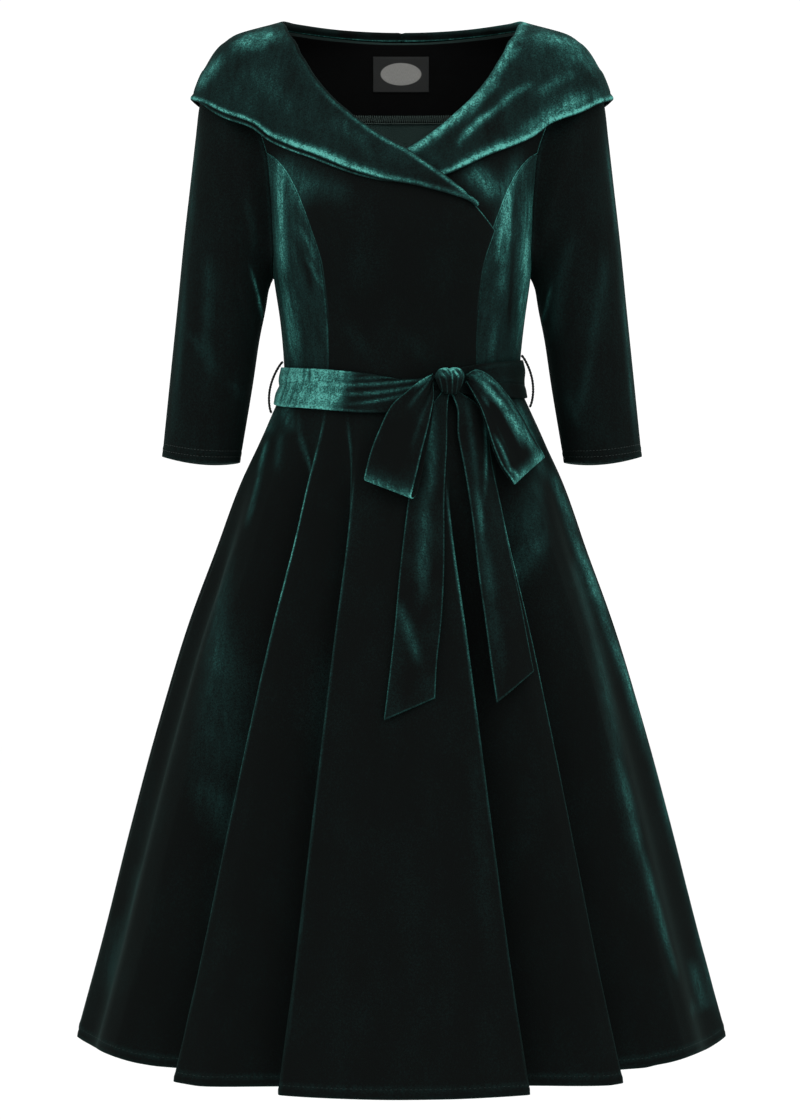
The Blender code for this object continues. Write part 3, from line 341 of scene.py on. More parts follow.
BODICE_MARKS = marks(
    (-123, 149, -120, 279, 1, 5.4, 1, 34), (-115, 273, -107, 354, 0, 6.9, .9, 34),
    (-104, 217, -83, 258, 2, 2.5, 1, 20), (-98, 247, -79, 281, 2, 2.5, 1, 18),
    (-105, 231, -89, 290, 2, 3.9, -1, -14), (-96, 280, -86, 335, 0, 3.9, -.8, 0),
    (-120, 147, -89, 199, 0, 11.8, 0, 24), (-101, 167, -51, 195, 0, 11.8, 0, 12),
    (127, 184, 121, 351, 0, 6.9, 1, 46), (106, 203, 98, 290, 0, 4.9, .8, 24),
    (116, 160, 109, 220, 1, 3, -1, -20), (97, 218, 94, 253, 0, 2.5, .9, 26),
    (111, 230, 106, 328, 1, 3, -.9, -14), (92, 300, 87, 352, 0, 3.9, .8, 14),
    (115, 145, 97, 237, 0, 7.9, 0, 36), (63, 162, 99, 192, 1, 11.8, 0, 42),
    (-29, 192, -45, 293, 0, 11.8, .8, 2), (49, 225, 59, 331, 0, 13.8, -.8, 0),
    (-2, 322, 28, 353, 0, 8.9, .7, 3), (-56, 312, -30, 353, 0, 7.9, .7, 3),
)
SLEEVE_MARKS = marks(
    (-152, 256, -140, 314, 1, 1.6, 1, 46), (-194, 243, -198, 328, 3, 5.9, 1.3, 9),
    (-199, 320, -188, 366, 0, 4.9, 1.2, 9), (-207, 107, -217, 238, 0, 3.9, 0, 14),
    (-217, 227, -232, 428, 0, 3.9, 0, 12), (-157, 187, -149, 238, 2, 3.9, 1, 6),
    (-171, 270, -155, 318, 2, 3.9, -1.2, 0), (-217, 318, -199, 348, 2, 3.9, 1.2, 7),
    (-175, 368, -163, 388, 2, 4.9, 1, 6), (169, 227, 153, 328, -3, 5.9, 1.3, 10),
    (205, 243, 191, 344, -2, 5.9, 1.2, 10), (191, 338, 175, 406, 0, 4.9, 1, 8),
    (206, 117, 221, 248, 0, 3, 0, 22), (220, 238, 237, 433, 0, 3, 0, 22),
    (151, 270, 139, 318, 1, 2, 1, 26), (177, 288, 159, 318, 2, 3.9, -1.2, 0),
    (165, 378, 181, 418, -2, 4.9, 1, 6),
)
COLLAR_MARKS = marks(
    (-173, 32, -119, 17, 3, 8.9, 0, 52), (-179, 40, -212, 75, 0, 6.9, 0, 50),
    (-153, 37, -135, 30, 1, 3.9, .6, 24), (-153, 56, -101, 112, 3.9, 9.9, .8, 10),
    (-71, 111, -29, 154, 3, 7.9, .8, 12), (18, 187, 75, 201, 2, 3.9, .8, 36),
    (-102, 80, -71, 134, 0, 11.8, -.8, 0), (54, 141, 97, 98, 3, 3.9, 1.2, 60),
    (93, 102, 130, 72, 2, 3.9, 1, 42), (65, 113, 98, 72, 2, 3, .8, 22), (98, 60, 122, 33, 1, 3.9, .8, 22),
    (53, 164, 118, 129, 2, 4.9, 0, 46), (112, 131, 181, 89, 2, 7.9, 0, 42),
    (134, 84, 177, 59, 2, 4.9, .8, 20), (159, 95, 210, 79, 0, 9.9, 0, 30),
    (160, 34, 201, 51, 2, 12.8, 0, 28), (129, 19, 186, 30, 2, 8.9, 0, 42),
)
BELT_MARKS = marks(
    (-129, 363, -72, 374, 0, 3, .6, 12), (-124, 382, -52, 392, 1, 3, .6, 12),
    (-72, 376, 30, 369, -3, 1.6, .7, 42), (-66, 385, 30, 374, -3.9, 1.6, .7, 44),
    (-52, 370, 28, 365, -1, 1.6, .6, 28), (-57, 396, 28, 379, -3, 1.6, .6, 36),
    (68, 362, 120, 351, 1, 2, .6, 6), (66, 370, 122, 369, 1, 2, .6, 4),
)
TAIL_MARKS = marks(
    (28, 388, 27, 491, 1, 4.9, .8, 26), (23, 481, 18, 593, 0, 5.9, .8, 22),
    (-5, 589, 16, 648, 1, 4.9, .6, 22), (10, 432, 6, 510, 0, 3.9, -.6, 0),
    (37, 383, 36, 549, 0, 2, -.6, 0), (63, 391, 74, 491, 1, 3, .6, 14),
    (81, 403, 80, 491, 2, 1.6, .7, 36), (72, 479, 78, 534, 1, 3, .8, 34),
    (79, 528, 87, 593, 0, 4.9, .6, 14), (85, 587, 98, 664, 0, 5.9, .5, 8),
)
BOW_MARKS = marks(
    (12, 380, 31, 368, 1, 2.4, .5, 46), (-21, 432, -10, 394, 0, 7.9, -.6, 0),
    (75, 371, 103, 400, -1, 3.5, .7, 42), (99, 392, 135, 452, 1, 3.9, .7, 36),
    (85, 395, 103, 429, 1, 3.9, -1, -50), (101, 421, 115, 458, 1, 4.4, -1.2, -60),
    (91, 427, 107, 465, 1, 1.8, .8, 50), (104, 459, 116, 470, 1, 2.4, .4, 40),
    (71, 363, 98, 378, 0, 2, .5, 26),
)


# ---- shapes as functions ----

def smooth(xs, ys, x):
    """The smooth curve through the points (xs, ys), read at x: a cubic between each pair."""
    x = np.clip(x, xs[0], xs[-1])
    slope = np.gradient(ys, xs)
    i = np.clip(np.searchsorted(xs, x, side="right") - 1, 0, len(xs) - 2)
    step = xs[i + 1] - xs[i]
    s = (x - xs[i]) / step
    start = (1 + 2 * s) * (1 - s) ** 2 * ys[i] + s * (1 - s) ** 2 * step * slope[i]
    return start + s * s * (3 - 2 * s) * ys[i + 1] + s * s * (s - 1) * step * slope[i + 1]


def read(columns, key, name, at):
    return smooth(columns[key], columns[name], np.asarray(at, float))


def sizes(form, drop):
    """All the other columns of a form's table, read at a drop."""
    return [read(form, "drop", name, drop) for name in form if name != "drop"]


def between_rows(columns, station):
    """The columns of a table, read between its rows."""
    return {name: smooth(np.arange(len(column)), column, station)
            for name, column in columns.items()}


def ease(low, high, x):
    """0 below low, 1 above high, smooth between."""
    s = np.clip((np.asarray(x, float) - low) / (high - low), 0, 1)
    return s * s * (3 - 2 * s)


def points(x, y, z):
    return np.stack(np.broadcast_arrays(x, y, z), axis=-1)


def unit(v):
    return v / np.maximum(np.linalg.norm(v, axis=-1, keepdims=True), 1e-12)


ROUND = 2.0     # the power of an ellipse


def oval(turn, half_width, front, back, square):
    """x and y at a turn round an oval, wider than round where square is over ROUND."""
    side, ahead = np.sin(turn), np.cos(turn)
    depth = np.where(ahead > 0, front, back)
    x = half_width * np.sign(side) * np.abs(side) ** (2 / square)
    return x, -depth * np.sign(ahead) * np.abs(ahead) ** (2 / square)


def torso_surface(turn, drop):
    """Stacked ovals, with a low rise on each side of the front at bust height."""
    x, y = oval(turn, *sizes(TORSO, drop))
    near = ((np.abs(x) - BUST["side"]) / BUST["width"]) ** 2
    near = near + ((drop - BUST["drop"]) / BUST["height"]) ** 2
    return points(x, y - BUST["rise"] * np.exp(-near) * (np.cos(turn) > 0), -drop)


def folds(turn, drop, *names):
    """For each fold: how far a turn is from it at a drop, and its numbers of these names."""
    down = (drop - WAIST) / (HEM - WAIST)
    for at_waist, at_hem, *numbers in zip(*(FOLDS[name] for name in ("at_waist", "at_hem", *names))):
        centre = np.radians(at_waist + (at_hem - at_waist) * down)
        yield ((turn - centre + math.pi) % (2 * math.pi) - math.pi, *numbers)


def fold_offsets(turn, drop):
    """How far the folds take the skirt in, and sideways towards +X, at a turn and drop.

    Each valley is a squared cosine across its spread, and grows with the skirt's width.
    """
    inward = np.zeros(np.shape(turn))
    sideways = np.zeros(np.shape(turn))
    width = read(SKIRT, "drop", "half_width", drop) / SKIRT["half_width"][-1]
    for off, spread, depth, tuck, start in folds(turn, drop, "spread", "depth", "tuck", "start"):
        shape = np.cos(np.clip(off / np.radians(spread), -1, 1) * HALF) ** 2
        shape = shape * width * ease(start, start + FOLD_FORMS, drop)
        inward += depth * shape
        sideways += tuck * shape
    return inward, sideways


def skirt_crests(turn, drop):
    """The flared form that touches the folds' crests."""
    return points(*oval(turn, *sizes(SKIRT, drop), ROUND), -drop)


def skirt_surface(turn, drop):
    """The flared form with its valleys pushed in and slid along it."""
    half_width, front, back = sizes(SKIRT, drop)
    depth = np.where(np.cos(turn) > 0, front, back)
    out = unit(points(np.sin(turn) / half_width, -np.cos(turn) / depth, 0.0))
    along = points(-out[..., 1], out[..., 0], 0.0)
    inward, sideways = fold_offsets(turn, drop)
    return skirt_crests(turn, drop) - inward[..., None] * out + sideways[..., None] * along


def on(surface, turn, drop, out=0.0):
    """Points of a surface, moved out along its normal."""
    turn, drop = np.broadcast_arrays(np.asarray(turn, float), np.asarray(drop, float))
    across = surface(turn + 1e-4, drop) - surface(turn - 1e-4, drop)
    down = surface(turn, drop + 1e-5) - surface(turn, drop - 1e-5)
    normal = unit(np.cross(down, across))
    return surface(turn, drop) + np.asarray(out)[..., None] * normal


def turn_at(x, drop):
    """The turn at which the front of the body form has this x."""
    wide = read(TORSO, "drop", "half_width", drop)
    square = read(TORSO, "drop", "square", drop)
    side = np.clip(np.abs(x) / wide, 0, 1) ** (square / 2)
    return np.sign(x) * np.arcsin(side)


def front_point(x, drop, off):
    """A point at this x in front of the waist or skirt, off its crests by a distance."""
    wide = read(SKIRT, "drop", "half_width", np.maximum(drop, WAIST))
    front = read(SKIRT, "drop", "front", np.maximum(drop, WAIST))
    foot = x
    for _ in range(8):
        lean = np.sqrt(1 - (foot / wide) ** 2)
        ahead = unit(points(foot / wide ** 2, -lean / front, 0 * x))
        foot = x - off * ahead[..., 0]
    return points(x, -front * lean + off * ahead[..., 1], -drop)


def armhole_turn(drop, back=False):
    return np.radians(read(ARMHOLE, "drop", "back_turn" if back else "front_turn", drop))


def side_turn(drop, back=False):
    """The turn of the armhole, and below it of the side seam."""
    return np.where(drop < UNDERARM, armhole_turn(np.minimum(drop, UNDERARM), back), HALF)


def shifted(turn, drop, along):
    """The turn moved round the body by a length."""
    reach = np.linalg.norm(torso_surface(turn + 0.01, drop) - torso_surface(turn, drop), axis=-1)
    return turn + 0.01 * along / reach


def princess_turn(drop):
    return turn_at(read(PRINCESS, "drop", "aside", drop), drop)


def collar_rows(station):
    """The collar's sections between its rows, with angles in radians."""
    value = between_rows(COLLAR, station)
    return {name: np.radians(column) if name.endswith("turn") else column
            for name, column in value.items()}


def from_fold(value, length):
    """Turn and drop at a length from the fold line, towards the collar's outer edge."""
    turn = value["edge_turn"] - value["fold_turn"]
    drop = value["edge_drop"] - value["fold_drop"]
    first = torso_surface(value["fold_turn"], value["fold_drop"])
    step = 0.04
    next_to = torso_surface(value["fold_turn"] + step * turn, value["fold_drop"] + step * drop)
    share = length * step / np.linalg.norm(next_to - first, axis=-1)
    return value["fold_turn"] + share * turn, value["fold_drop"] + share * drop


def stand_height(value):
    """The stand is lower where the collar runs out, and gone at the end of the neck edge."""
    reach = value["edge_drop"] - value["fold_drop"]
    reach = reach + np.abs(value["edge_turn"] - value["fold_turn"]) / 8
    return np.clip(STAND * ease(0.0, STAND_FULL, reach), STAND_LOW, STAND)


def wrap_lift(turn, drop):
    """How far the upper front stands off the body form, where the lower one lies beneath."""
    x = torso_surface(turn, drop)[..., 0]
    near = (x - CROSSING["x"]) ** 2 + (drop - CROSSING["drop"]) ** 2
    over = OVERLAP - WRAP["less"] * ease(*WRAP["drops"], drop)
    over = over + CROSSING["rise"] * np.exp(-near / CROSSING["reach"] ** 2)
    return over * ease(*WRAP["over"], turn)


def under_lift(turn, drop):
    """The lower front, drawn on the left half as the upper one is: flush at its own side,
    and inside the body form on the far side."""
    return -OVERLAP * ease(*WRAP["under"], turn) + 0 * drop


def armhole_ring(angle):
    """The armhole on the right of the body form; angle 0 is its top, a quarter turn its front."""
    middle = (SHOULDER_TIP + UNDERARM) / 2
    drop = middle - (UNDERARM - SHOULDER_TIP) / 2 * np.cos(angle)
    turn = np.where(np.sin(angle) > 0, armhole_turn(drop), armhole_turn(drop, back=True))
    return torso_surface(turn, drop)


def hem_level(turn):
    """The hem's drop: a gentle swing between front, sides and back, less a bell before each side."""
    beside = np.degrees(np.arcsin(np.abs(np.sin(turn)))) - HEM_LIFT["turn"]
    rise = HEM_LIFT["height"] * np.exp(-(beside / HEM_LIFT["spread"]) ** 2)
    return HEM + HEM_SWING * np.cos(2 * turn) - rise


def carrier_path(side, share):
    """From above the belt to below it: a straight line that bows out as a power of a sine."""
    turn = np.radians(CARRIER["turn"]) * (1 if side == "right" else -1)
    begin, end = CARRIER_DROPS[side]
    out = CARRIER["radius"] + SEAM
    first = on(torso_surface, turn, begin, out)
    last = on(skirt_crests, turn, end, out)
    away = np.array([math.sin(turn), -math.cos(turn), 0.0])
    bow = CARRIER["bow"] * np.sin(math.pi * share) ** CARRIER["full"]
    return first + (last - first) * share[:, None] + bow[:, None] * away


# ---- cloth as closed meshes ----

# How much narrower a stroke is on its sharp side, and the shares of it where it starts and ends
STROKE = {"sharp": 0.65, "starts": (-0.12, 0.30), "ends": (0.68, 1.12)}

# Height, place and width of a seam's ridges: the roll of the cloth into it, and its thin light
SEAM_ROLL = (-0.0008, 0.0, 0.0020)
SEAM_LINE = (1.0, 0.0014, 0.0008)


def crowd(count):
    """Steps from 0 to 1 that crowd at both ends, as the cosine of even turns does."""
    return 0.5 - 0.5 * np.cos(np.linspace(0, math.pi, count))


def bell(distance, width):
    """1 on the line, falling off smoothly over the width: a squared exponential."""
    return np.exp(-(distance / width) ** 2)


def ridges(distance, *rows):
    """The sum of some bells over a line: each row is a height, the distance where it is, and a width."""
    return sum(height * bell(distance - at, width) for height, at, width in rows)


def normals(grid, ring=False):
    """The cross product of a grid's steps down and across, made unit length."""
    if ring:
        across = np.roll(grid, -1, 1) - np.roll(grid, 1, 1)
    else:
        across = np.gradient(grid, axis=1)
    return unit(np.cross(np.gradient(grid, axis=0), across))


def raised(grid, lift, ring=False):
    """The grid moved out along its normals."""
    return grid + np.asarray(lift)[..., None] * normals(grid, ring)


def run_down(grid):
    """The length from the first row to each point, along its column."""
    steps = np.linalg.norm(np.diff(grid, axis=0), axis=-1)
    return np.concatenate([np.zeros((1, grid.shape[1])), np.cumsum(steps, axis=0)])


def run_across(grid):
    """The length from the first column to each point, along its row."""
    return run_down(grid.transpose(1, 0, 2)).T


def row_at(run, height):
    """The row of a grid whose points are about this far along their runs."""
    return int(np.argmin(np.abs(run.mean(axis=1) - height)))


def line_at(place, run, line):
    """Points of a line, read at these lengths along it."""
    return np.stack([np.interp(place, run, line[:, axis]) for axis in range(3)], axis=-1)


def from_rim(run, axis=0):
    """How far each point is from the nearer end of its run."""
    return np.minimum(run, np.take(run, [-1], axis=axis) - run)


def strokes(marks, x, drop):
    """How far soft strokes lift the cloth, and how much painted sheen and shade they add.

    A stroke is a line between two points, bowed sideways as a parabola. Its effect falls off
    across it as a bell, narrower on its sharp side, and fades towards its ends.
    """
    lift = np.zeros(np.shape(x))
    painted_light_and_tone = np.zeros(np.shape(x))
    for x0, drop0, x1, drop1, bow, width, depth, light, sharp in zip(*marks.values()):
        ahead, down = x1 - x0, drop1 - drop0
        length = math.hypot(ahead, down)
        along = ((x - x0) * ahead + (drop - drop0) * down) / length ** 2
        aside = ((x - x0) * down - (drop - drop0) * ahead) / length
        aside = aside - bow * 4 * along * (1 - along)
        shape = bell(aside, width * (1 - STROKE["sharp"] * sharp * np.sign(aside)))
        shape = shape * ease(*STROKE["starts"], along) * (1 - ease(*STROKE["ends"], along))
        lift += depth * shape
        painted_light_and_tone += light * shape
    return lift, painted_light_and_tone


def creased(grid, marks, where=1.0, ring=False):
    """The grid with its marks pressed in or raised along its normals, and their painted sheen and shade.
    """
    lift, painted_light_and_tone = strokes(marks, grid[..., 0], -grid[..., 2])
    return raised(grid, lift * where * settings().crease, ring), painted_light_and_tone * where


def sewn(grid, lit, light):
    """Rolls both sides of a panel into their seams, and paints a thin highlight along those that are lit."""
    across = run_across(grid)
    far = {"left": across, "right": across[:, -1:] - across}
    line = ridges(np.minimum.reduce([far[side] for side in lit]), SEAM_LINE)
    return raised(grid, ridges(np.minimum(*far.values()), SEAM_ROLL)), light * line


def bend(grid, ring=False):
    """How sharply the cloth bends outwards across its columns, in turns of its normal per metre."""
    out = normals(grid, ring)
    if ring:
        step = np.roll(grid, -1, 1) - np.roll(grid, 1, 1)
        turn = np.roll(out, -1, 1) - np.roll(out, 1, 1)
    else:
        step, turn = np.gradient(grid, axis=1), np.gradient(out, axis=1)
    return (step * turn).sum(axis=-1) / np.maximum((step ** 2).sum(axis=-1), 1e-12)


def quads(number, ring=False):
    """Faces between the corners of a grid of vertex numbers."""
    if ring:
        number = np.concatenate([number, number[:, :1]], axis=1)
    corners = (number[:-1, :-1], number[1:, :-1], number[1:, 1:], number[:-1, 1:])
    return np.stack([c.ravel() for c in corners], axis=1)


def in_scene(name, data):
    """A new object in the scene that holds this data."""
    made = bpy.data.objects.new(name, data)
    bpy.context.scene.collection.objects.link(made)
    return made


def new_piece(name, co, faces, finishes, kinds=None, values=None):
    """An object at the origin with this mesh, its finishes, and numbers kept on its points."""
    mesh = bpy.data.meshes.new(name)
    mesh.from_pydata(co.tolist(), [], faces)
    for finish in finishes:
        mesh.materials.append(finish)
    if kinds is not None:
        mesh.polygons.foreach_set("material_index", kinds)
    for key, value in (values or {}).items():
        kind, field = ("FLOAT_VECTOR", "vector") if value.ndim > 1 else ("FLOAT", "value")
        mesh.attributes.new(key, kind, "POINT").data.foreach_set(field, value.astype("f").ravel())
    mesh.shade_smooth()
    piece = in_scene(name, mesh)
    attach(piece, "root")
    return piece


def cloth(name, grid, thick, finishes, nap=0.0, ring=False):
    """A closed layer of cloth: an outer face on the grid and an inner face a thickness inside it
    along the normals, drawn together round the open rim in a half circle."""
    out = normals(grid, ring)
    radius = thick / 2
    near = from_rim(run_down(grid))
    if not ring:
        near = np.minimum(near, from_rim(run_across(grid), axis=1))
    near = np.minimum(near, radius)
    inset = (radius - np.sqrt(radius ** 2 - (radius - near) ** 2))[..., None]
    rim = np.zeros(near.shape, bool)
    rim[[0, -1]] = True
    if not ring:
        rim[:, [0, -1]] = True
    outside = np.arange(rim.size).reshape(rim.shape)
    inside = outside.copy()
    inside[~rim] = rim.size + np.arange((~rim).sum())
    inner = (grid - (thick - inset) * out)[~rim]
    co = np.concatenate([(grid - inset * out).reshape(-1, 3), inner])
    outer, inner = quads(outside, ring), quads(inside, ring)[:, ::-1]
    lie = np.stack(np.broadcast_arrays(run_across(grid), run_down(grid), 0.0), axis=-1)
    nap = nap + np.zeros(rim.shape)
    # Painted sheen and shade kept on the outer face's points; the inner face gets none
    values = {
        "nap": np.concatenate([nap.ravel(), nap[~rim] * 0]),
        "lie": np.concatenate([lie.reshape(-1, 3), lie[~rim]]),
    }
    kinds = np.concatenate([np.zeros(len(outer), int), np.full(len(inner), len(finishes) - 1)])
    faces = outer.tolist() + inner.tolist()
    return new_piece(name, co, faces, finishes, kinds, values)


def single_layer(name, grid, nap, ring=False):
    """One layer of velvet, with its knitted reverse inside."""
    pair = [finish_named("green velvet pile"), finish_named("knitted reverse")]
    return cloth(name, grid, settings().velvet_thick, pair, nap, ring)


def turned_out(name, grid, nap, finish="belt velvet pile", ring=False, thick=TURNED):
    """Two layers of velvet, sewn and turned out, with their pile on both faces."""
    return cloth(name, grid, thick, [finish_named(finish)] * 2, nap, ring)


def round_form(name, rings, finish, nap=0.0):
    """A form closed at both ends: rings of points along it, and a pole beyond each end ring."""
    count, around = rings.shape[:2]
    number = np.arange(count * around).reshape(count, around)
    poles = rings[[0, -1]].mean(axis=1)
    faces = quads(number, ring=True).tolist()
    first, last = number[0], number[-1]
    faces += np.stack([first, np.roll(first, -1), np.full(around, number.size)], axis=1).tolist()
    faces += np.stack([np.roll(last, -1), last, np.full(around, number.size + 1)], axis=1).tolist()
    nap = (nap + np.zeros((count, around))).ravel()
    # Painted sheen kept on the points; each pole takes the first or the last value
    values = {"nap": np.append(nap, [nap[0], nap[-1]])}
    co = np.concatenate([rings.reshape(-1, 3), poles])
    return new_piece(name, co, faces, [finish], values=values)


def tube_rings(path, out, radius, around=8):
    """Rings round a path: each is a circle across the path's direction."""
    along = unit(np.gradient(path, axis=0))
    side = unit(np.cross(along, out))
    rise = np.cross(side, along)
    angle = np.arange(around) / around * 2 * math.pi
    ring = np.cos(angle)[None, :, None] * side[:, None] + np.sin(angle)[None, :, None] * rise[:, None]
    return path[:, None] + np.asarray(radius).reshape(-1, 1, 1) * ring


# Along a stitch from end to end: the share of its half length, its girth and how far it dips
STITCH_FORM = table("share girth dip", (-1.0, 0.15, 1), (-0.6, 1.0, 0), (0.6, 1.0, 0), (1.0, 0.15, 1))
STITCH_SIDES = 5


def stitches(name, path, out, finish, pitch, length, radius, sink=0.25):
    """A row of stitches: small rods with pointed ends, bent down into the cloth at both ends."""
    run = np.concatenate([[0], np.cumsum(np.linalg.norm(np.diff(path, axis=0), axis=1))])
    middle = np.arange(pitch / 2, run[-1] - pitch / 2, pitch)
    ahead = unit(line_at(middle + length / 2, run, path) - line_at(middle - length / 2, run, path))
    rise = unit(line_at(middle, run, out))
    side = np.cross(ahead, rise)
    share, girth, dip = (column[:, None, None] for column in STITCH_FORM.values())
    angle = (np.arange(STITCH_SIDES) / STITCH_SIDES * 2 * math.pi)[None, :, None]
    height = (-dip * (sink + 1) + girth * np.sin(angle)) * radius
    rod = (share * length / 2 * ahead[:, None, None] + height * rise[:, None, None]
           + girth * np.cos(angle) * radius * side[:, None, None])
    co = line_at(middle, run, path)[:, None, None] + rod
    rings = len(STITCH_FORM["share"])
    number = np.arange(rings * STITCH_SIDES).reshape(rings, STITCH_SIDES)
    start = number.size * np.arange(len(middle))[:, None, None]
    faces = (quads(number, ring=True)[:, ::-1][None] + start).reshape(-1, 4).tolist()
    for end in (number[0], number[-1][::-1]):
        faces += (end[None, None] + start).reshape(-1, STITCH_SIDES).tolist()
    return new_piece(name, co.reshape(-1, 3), faces, [finish])


def stand_for(node, with_pieces=()):
    """Hides the solid that the new piece takes the place of."""
    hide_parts(node)


# ---- finishes ----

class Value:
    """A number in a material that can be used in arithmetic: each operator adds its Math node."""

    def __init__(self, finish, socket):
        self.finish = finish
        self.socket = socket

    def math(self, operation, *values, clamp=False):
        how = {"operation": operation, "use_clamp": clamp}
        return self.finish.node("ShaderNodeMath", how, dict(enumerate(values)))

    def __add__(self, other):
        return self.math("ADD", self, other)

    def __mul__(self, other):
        return self.math("MULTIPLY", self, other)

    def __sub__(self, other):
        return self.math("SUBTRACT", self, other)

    def __rsub__(self, other):
        return self.math("SUBTRACT", other, self)

    def __truediv__(self, other):
        return self.math("DIVIDE", self, other)

    def __pow__(self, other):
        return self.math("POWER", self, other)

    __radd__ = __add__
    __rmul__ = __mul__

    def clamped(self):
        return self.math("ADD", self, 0.0, clamp=True)

    def between(self, low, high):
        """0 below low, 1 above high."""
        return ((self - low) / (high - low)).clamped()


BUMP_DEEP = 0.0006


class Finish:
    """A material while it is put together."""

    def __init__(self, name):
        self.material = bpy.data.materials.new(name)
        self.material.use_nodes = True
        self.tree = self.material.node_tree
        self.tree.nodes.clear()

    def node(self, kind, settings=None, inputs=None, output=0):
        """Adds a node: its settings first, then the values or links of its sockets."""
        made = self.tree.nodes.new(kind)
        for name, value in (settings or {}).items():
            if name == "stops":
                ramp = made.color_ramp.elements
                while len(ramp) < len(value):
                    ramp.new(1.0)
                for stop, (position, colour) in zip(ramp, value):
                    stop.position = position
                    stop.color = (*colour, 1)
            else:
                setattr(made, name, value)
        for name, value in (inputs or {}).items():
            if isinstance(value, Value):
                self.tree.links.new(value.socket, made.inputs[name])
            else:
                made.inputs[name].default_value = value
        return Value(self, made.outputs[output]) if len(made.outputs) else None

    def place(self):
        return self.node("ShaderNodeTexCoord", output="Object")

    def kept(self, name, output="Fac"):
        return self.node("ShaderNodeAttribute", {"attribute_name": name}, output=output)

    def stretched(self, vector, *scale):
        return self.node("ShaderNodeVectorMath", {"operation": "MULTIPLY"}, {0: vector, 1: scale})

    def noise(self, vector, scale, detail=2.0):
        return self.node("ShaderNodeTexNoise", None, {"Vector": vector, "Scale": scale, "Detail": detail})

    def ribs(self, vector, direction, scale, distortion, detail=2.0):
        how = {"wave_type": "BANDS", "bands_direction": direction}
        sockets = {"Vector": vector, "Scale": scale, "Distortion": distortion, "Detail": detail}
        return self.node("ShaderNodeTexWave", how, sockets, "Fac")

    def mix(self, factor, first, second):
        return self.node("ShaderNodeMix", {"data_type": "RGBA"}, {0: factor, 6: first, 7: second}, 2)

    def done(self, colour, roughness, height, strength, **fixed):
        """Ends the material in one Principled shader with a bump; fixed holds its constants."""
        how = {"Height": height, "Strength": strength, "Distance": BUMP_DEEP}
        bump = self.node("ShaderNodeBump", None, how)
        sockets = {"Base Color": colour, "Roughness": roughness, "Normal": bump}
        sockets.update({name.replace("_", " "): value for name, value in fixed.items()})
        shader = self.node("ShaderNodeBsdfPrincipled", None, sockets)
        self.node("ShaderNodeOutputMaterial", None, {"Surface": shader})
        return self.material


# Noises of the velvet: how far each is stretched upright (0 is not at all), scale and detail
VELVET_NOISE = {
    "brushed": (0.35, 70, 4), "streaks": (0.09, 190, 3), "patchy": (0.5, 30, 3),
    "fleck": (0, 600, 2), "pile": (0, 1500, 1),
}


def velvet(name, opened=0.0, crushed=0.10):
    """Cut pile, black-green, with teal sheen painted over ridges and rolled edges.

    The painted sheen and shade kept on the points sets how far its colour goes from black-green
    towards teal. Brushed streaks break that up, crushed patches and fine grain vary the pile's own
    tone, and more teal sheen is painted where the cloth is seen edge-on.
    """
    chosen = settings()
    f = Finish(name)
    at = f.place()
    brushed, streaks, patchy, fleck, pile = (
        f.noise(f.stretched(at, 1, 1, upright) if upright else at, scale, detail)
        for upright, scale, detail in VELVET_NOISE.values())
    # Painted sheen: the colour moves towards teal where the cloth is seen edge-on
    side = f.node("ShaderNodeLayerWeight", None, {"Blend": 0.28}, "Facing")
    # The painted sheen and shade kept on the points, broken up by brushed streaks, with crushed patches
    # and grain as real tone
    brushing = 1.2 * brushed + 1.5 * streaks - 0.35
    painted_light_and_tone = f.kept("nap") * brushing + side ** 4.0 * chosen.rim
    painted_light_and_tone = painted_light_and_tone + (patchy - 0.5) * crushed * 2 + opened
    grain = (fleck - 0.5) * 1.9 + (pile - 0.5) * 1.5
    painted_light_and_tone = painted_light_and_tone + grain * chosen.grain * (painted_light_and_tone.clamped() * 0.9 + 0.06)
    # Shut is the velvet's own colour; dusk, teal and bright are painted sheen colours
    stops = ((0.0, chosen.shut), (0.22, chosen.dusk), (0.55, chosen.teal), (1.0, chosen.bright))
    colour = f.node("ShaderNodeValToRGB", {"stops": stops}, {"Fac": painted_light_and_tone})
    roughness = 0.94 - 0.16 * painted_light_and_tone.clamped()
    return f.done(colour, roughness, fleck * 0.6 + pile * 0.4, 0.5,
                  Sheen_Weight=chosen.sheen, Sheen_Roughness=0.45,
                  Sheen_Tint=(*chosen.teal_sheen, 1), Specular_IOR_Level=0.03)


def knit_back():
    """The reverse of the velvet: fine knitted ribs, lighter and greyer than the pile."""
    f = Finish("knitted reverse")
    lie = f.kept("lie", "Vector")
    ribs = f.ribs(lie, "X", 260.0, 1.2, 1.0)
    loops = f.ribs(lie, "Y", 330.0, 1.0, 1.0)
    cloudy = f.noise(f.place(), 30, 3)
    colour = f.mix((ribs * 0.5 + loops * 0.3 + cloudy * 0.4 - 0.1).clamped(),
                   (0.011, 0.024, 0.022, 1), (0.042, 0.078, 0.070, 1))
    return f.done(colour, 0.93 - 0.08 * ribs, ribs * 0.6 + loops * 0.4, 0.5,
                  Sheen_Weight=0.05, Specular_IOR_Level=0.1)


def facing_cloth():
    """Black twill: diagonal ribs over fine threads."""
    f = Finish("black twill")
    lie = f.kept("lie", "Vector")
    ribs = f.ribs(lie, "DIAGONAL", 300.0, 0.4)
    cloudy = f.noise(f.place(), 60, 3)
    colour = f.mix(ribs * 0.6 + cloudy * 0.3, (0.0012, 0.0013, 0.0013, 1), (0.0040, 0.0044, 0.0044, 1))
    return f.done(colour, 0.90 - 0.1 * ribs, ribs, 0.35, Specular_IOR_Level=0.05)


def thread(name, colour):
    """Spun thread: fine plies darken it in bands."""
    f = Finish(name)
    plies = f.noise(f.place(), 1500, 2)
    shade = f.mix(plies, tuple(0.55 * c for c in colour) + (1,), tuple(1.3 * c for c in colour) + (1,))
    return f.done(shade, 0.62 + 0.2 * plies, plies, 0.3, Specular_IOR_Level=0.25)


LABEL_OVAL = (0.0215, 0.0115)   # half its width and height


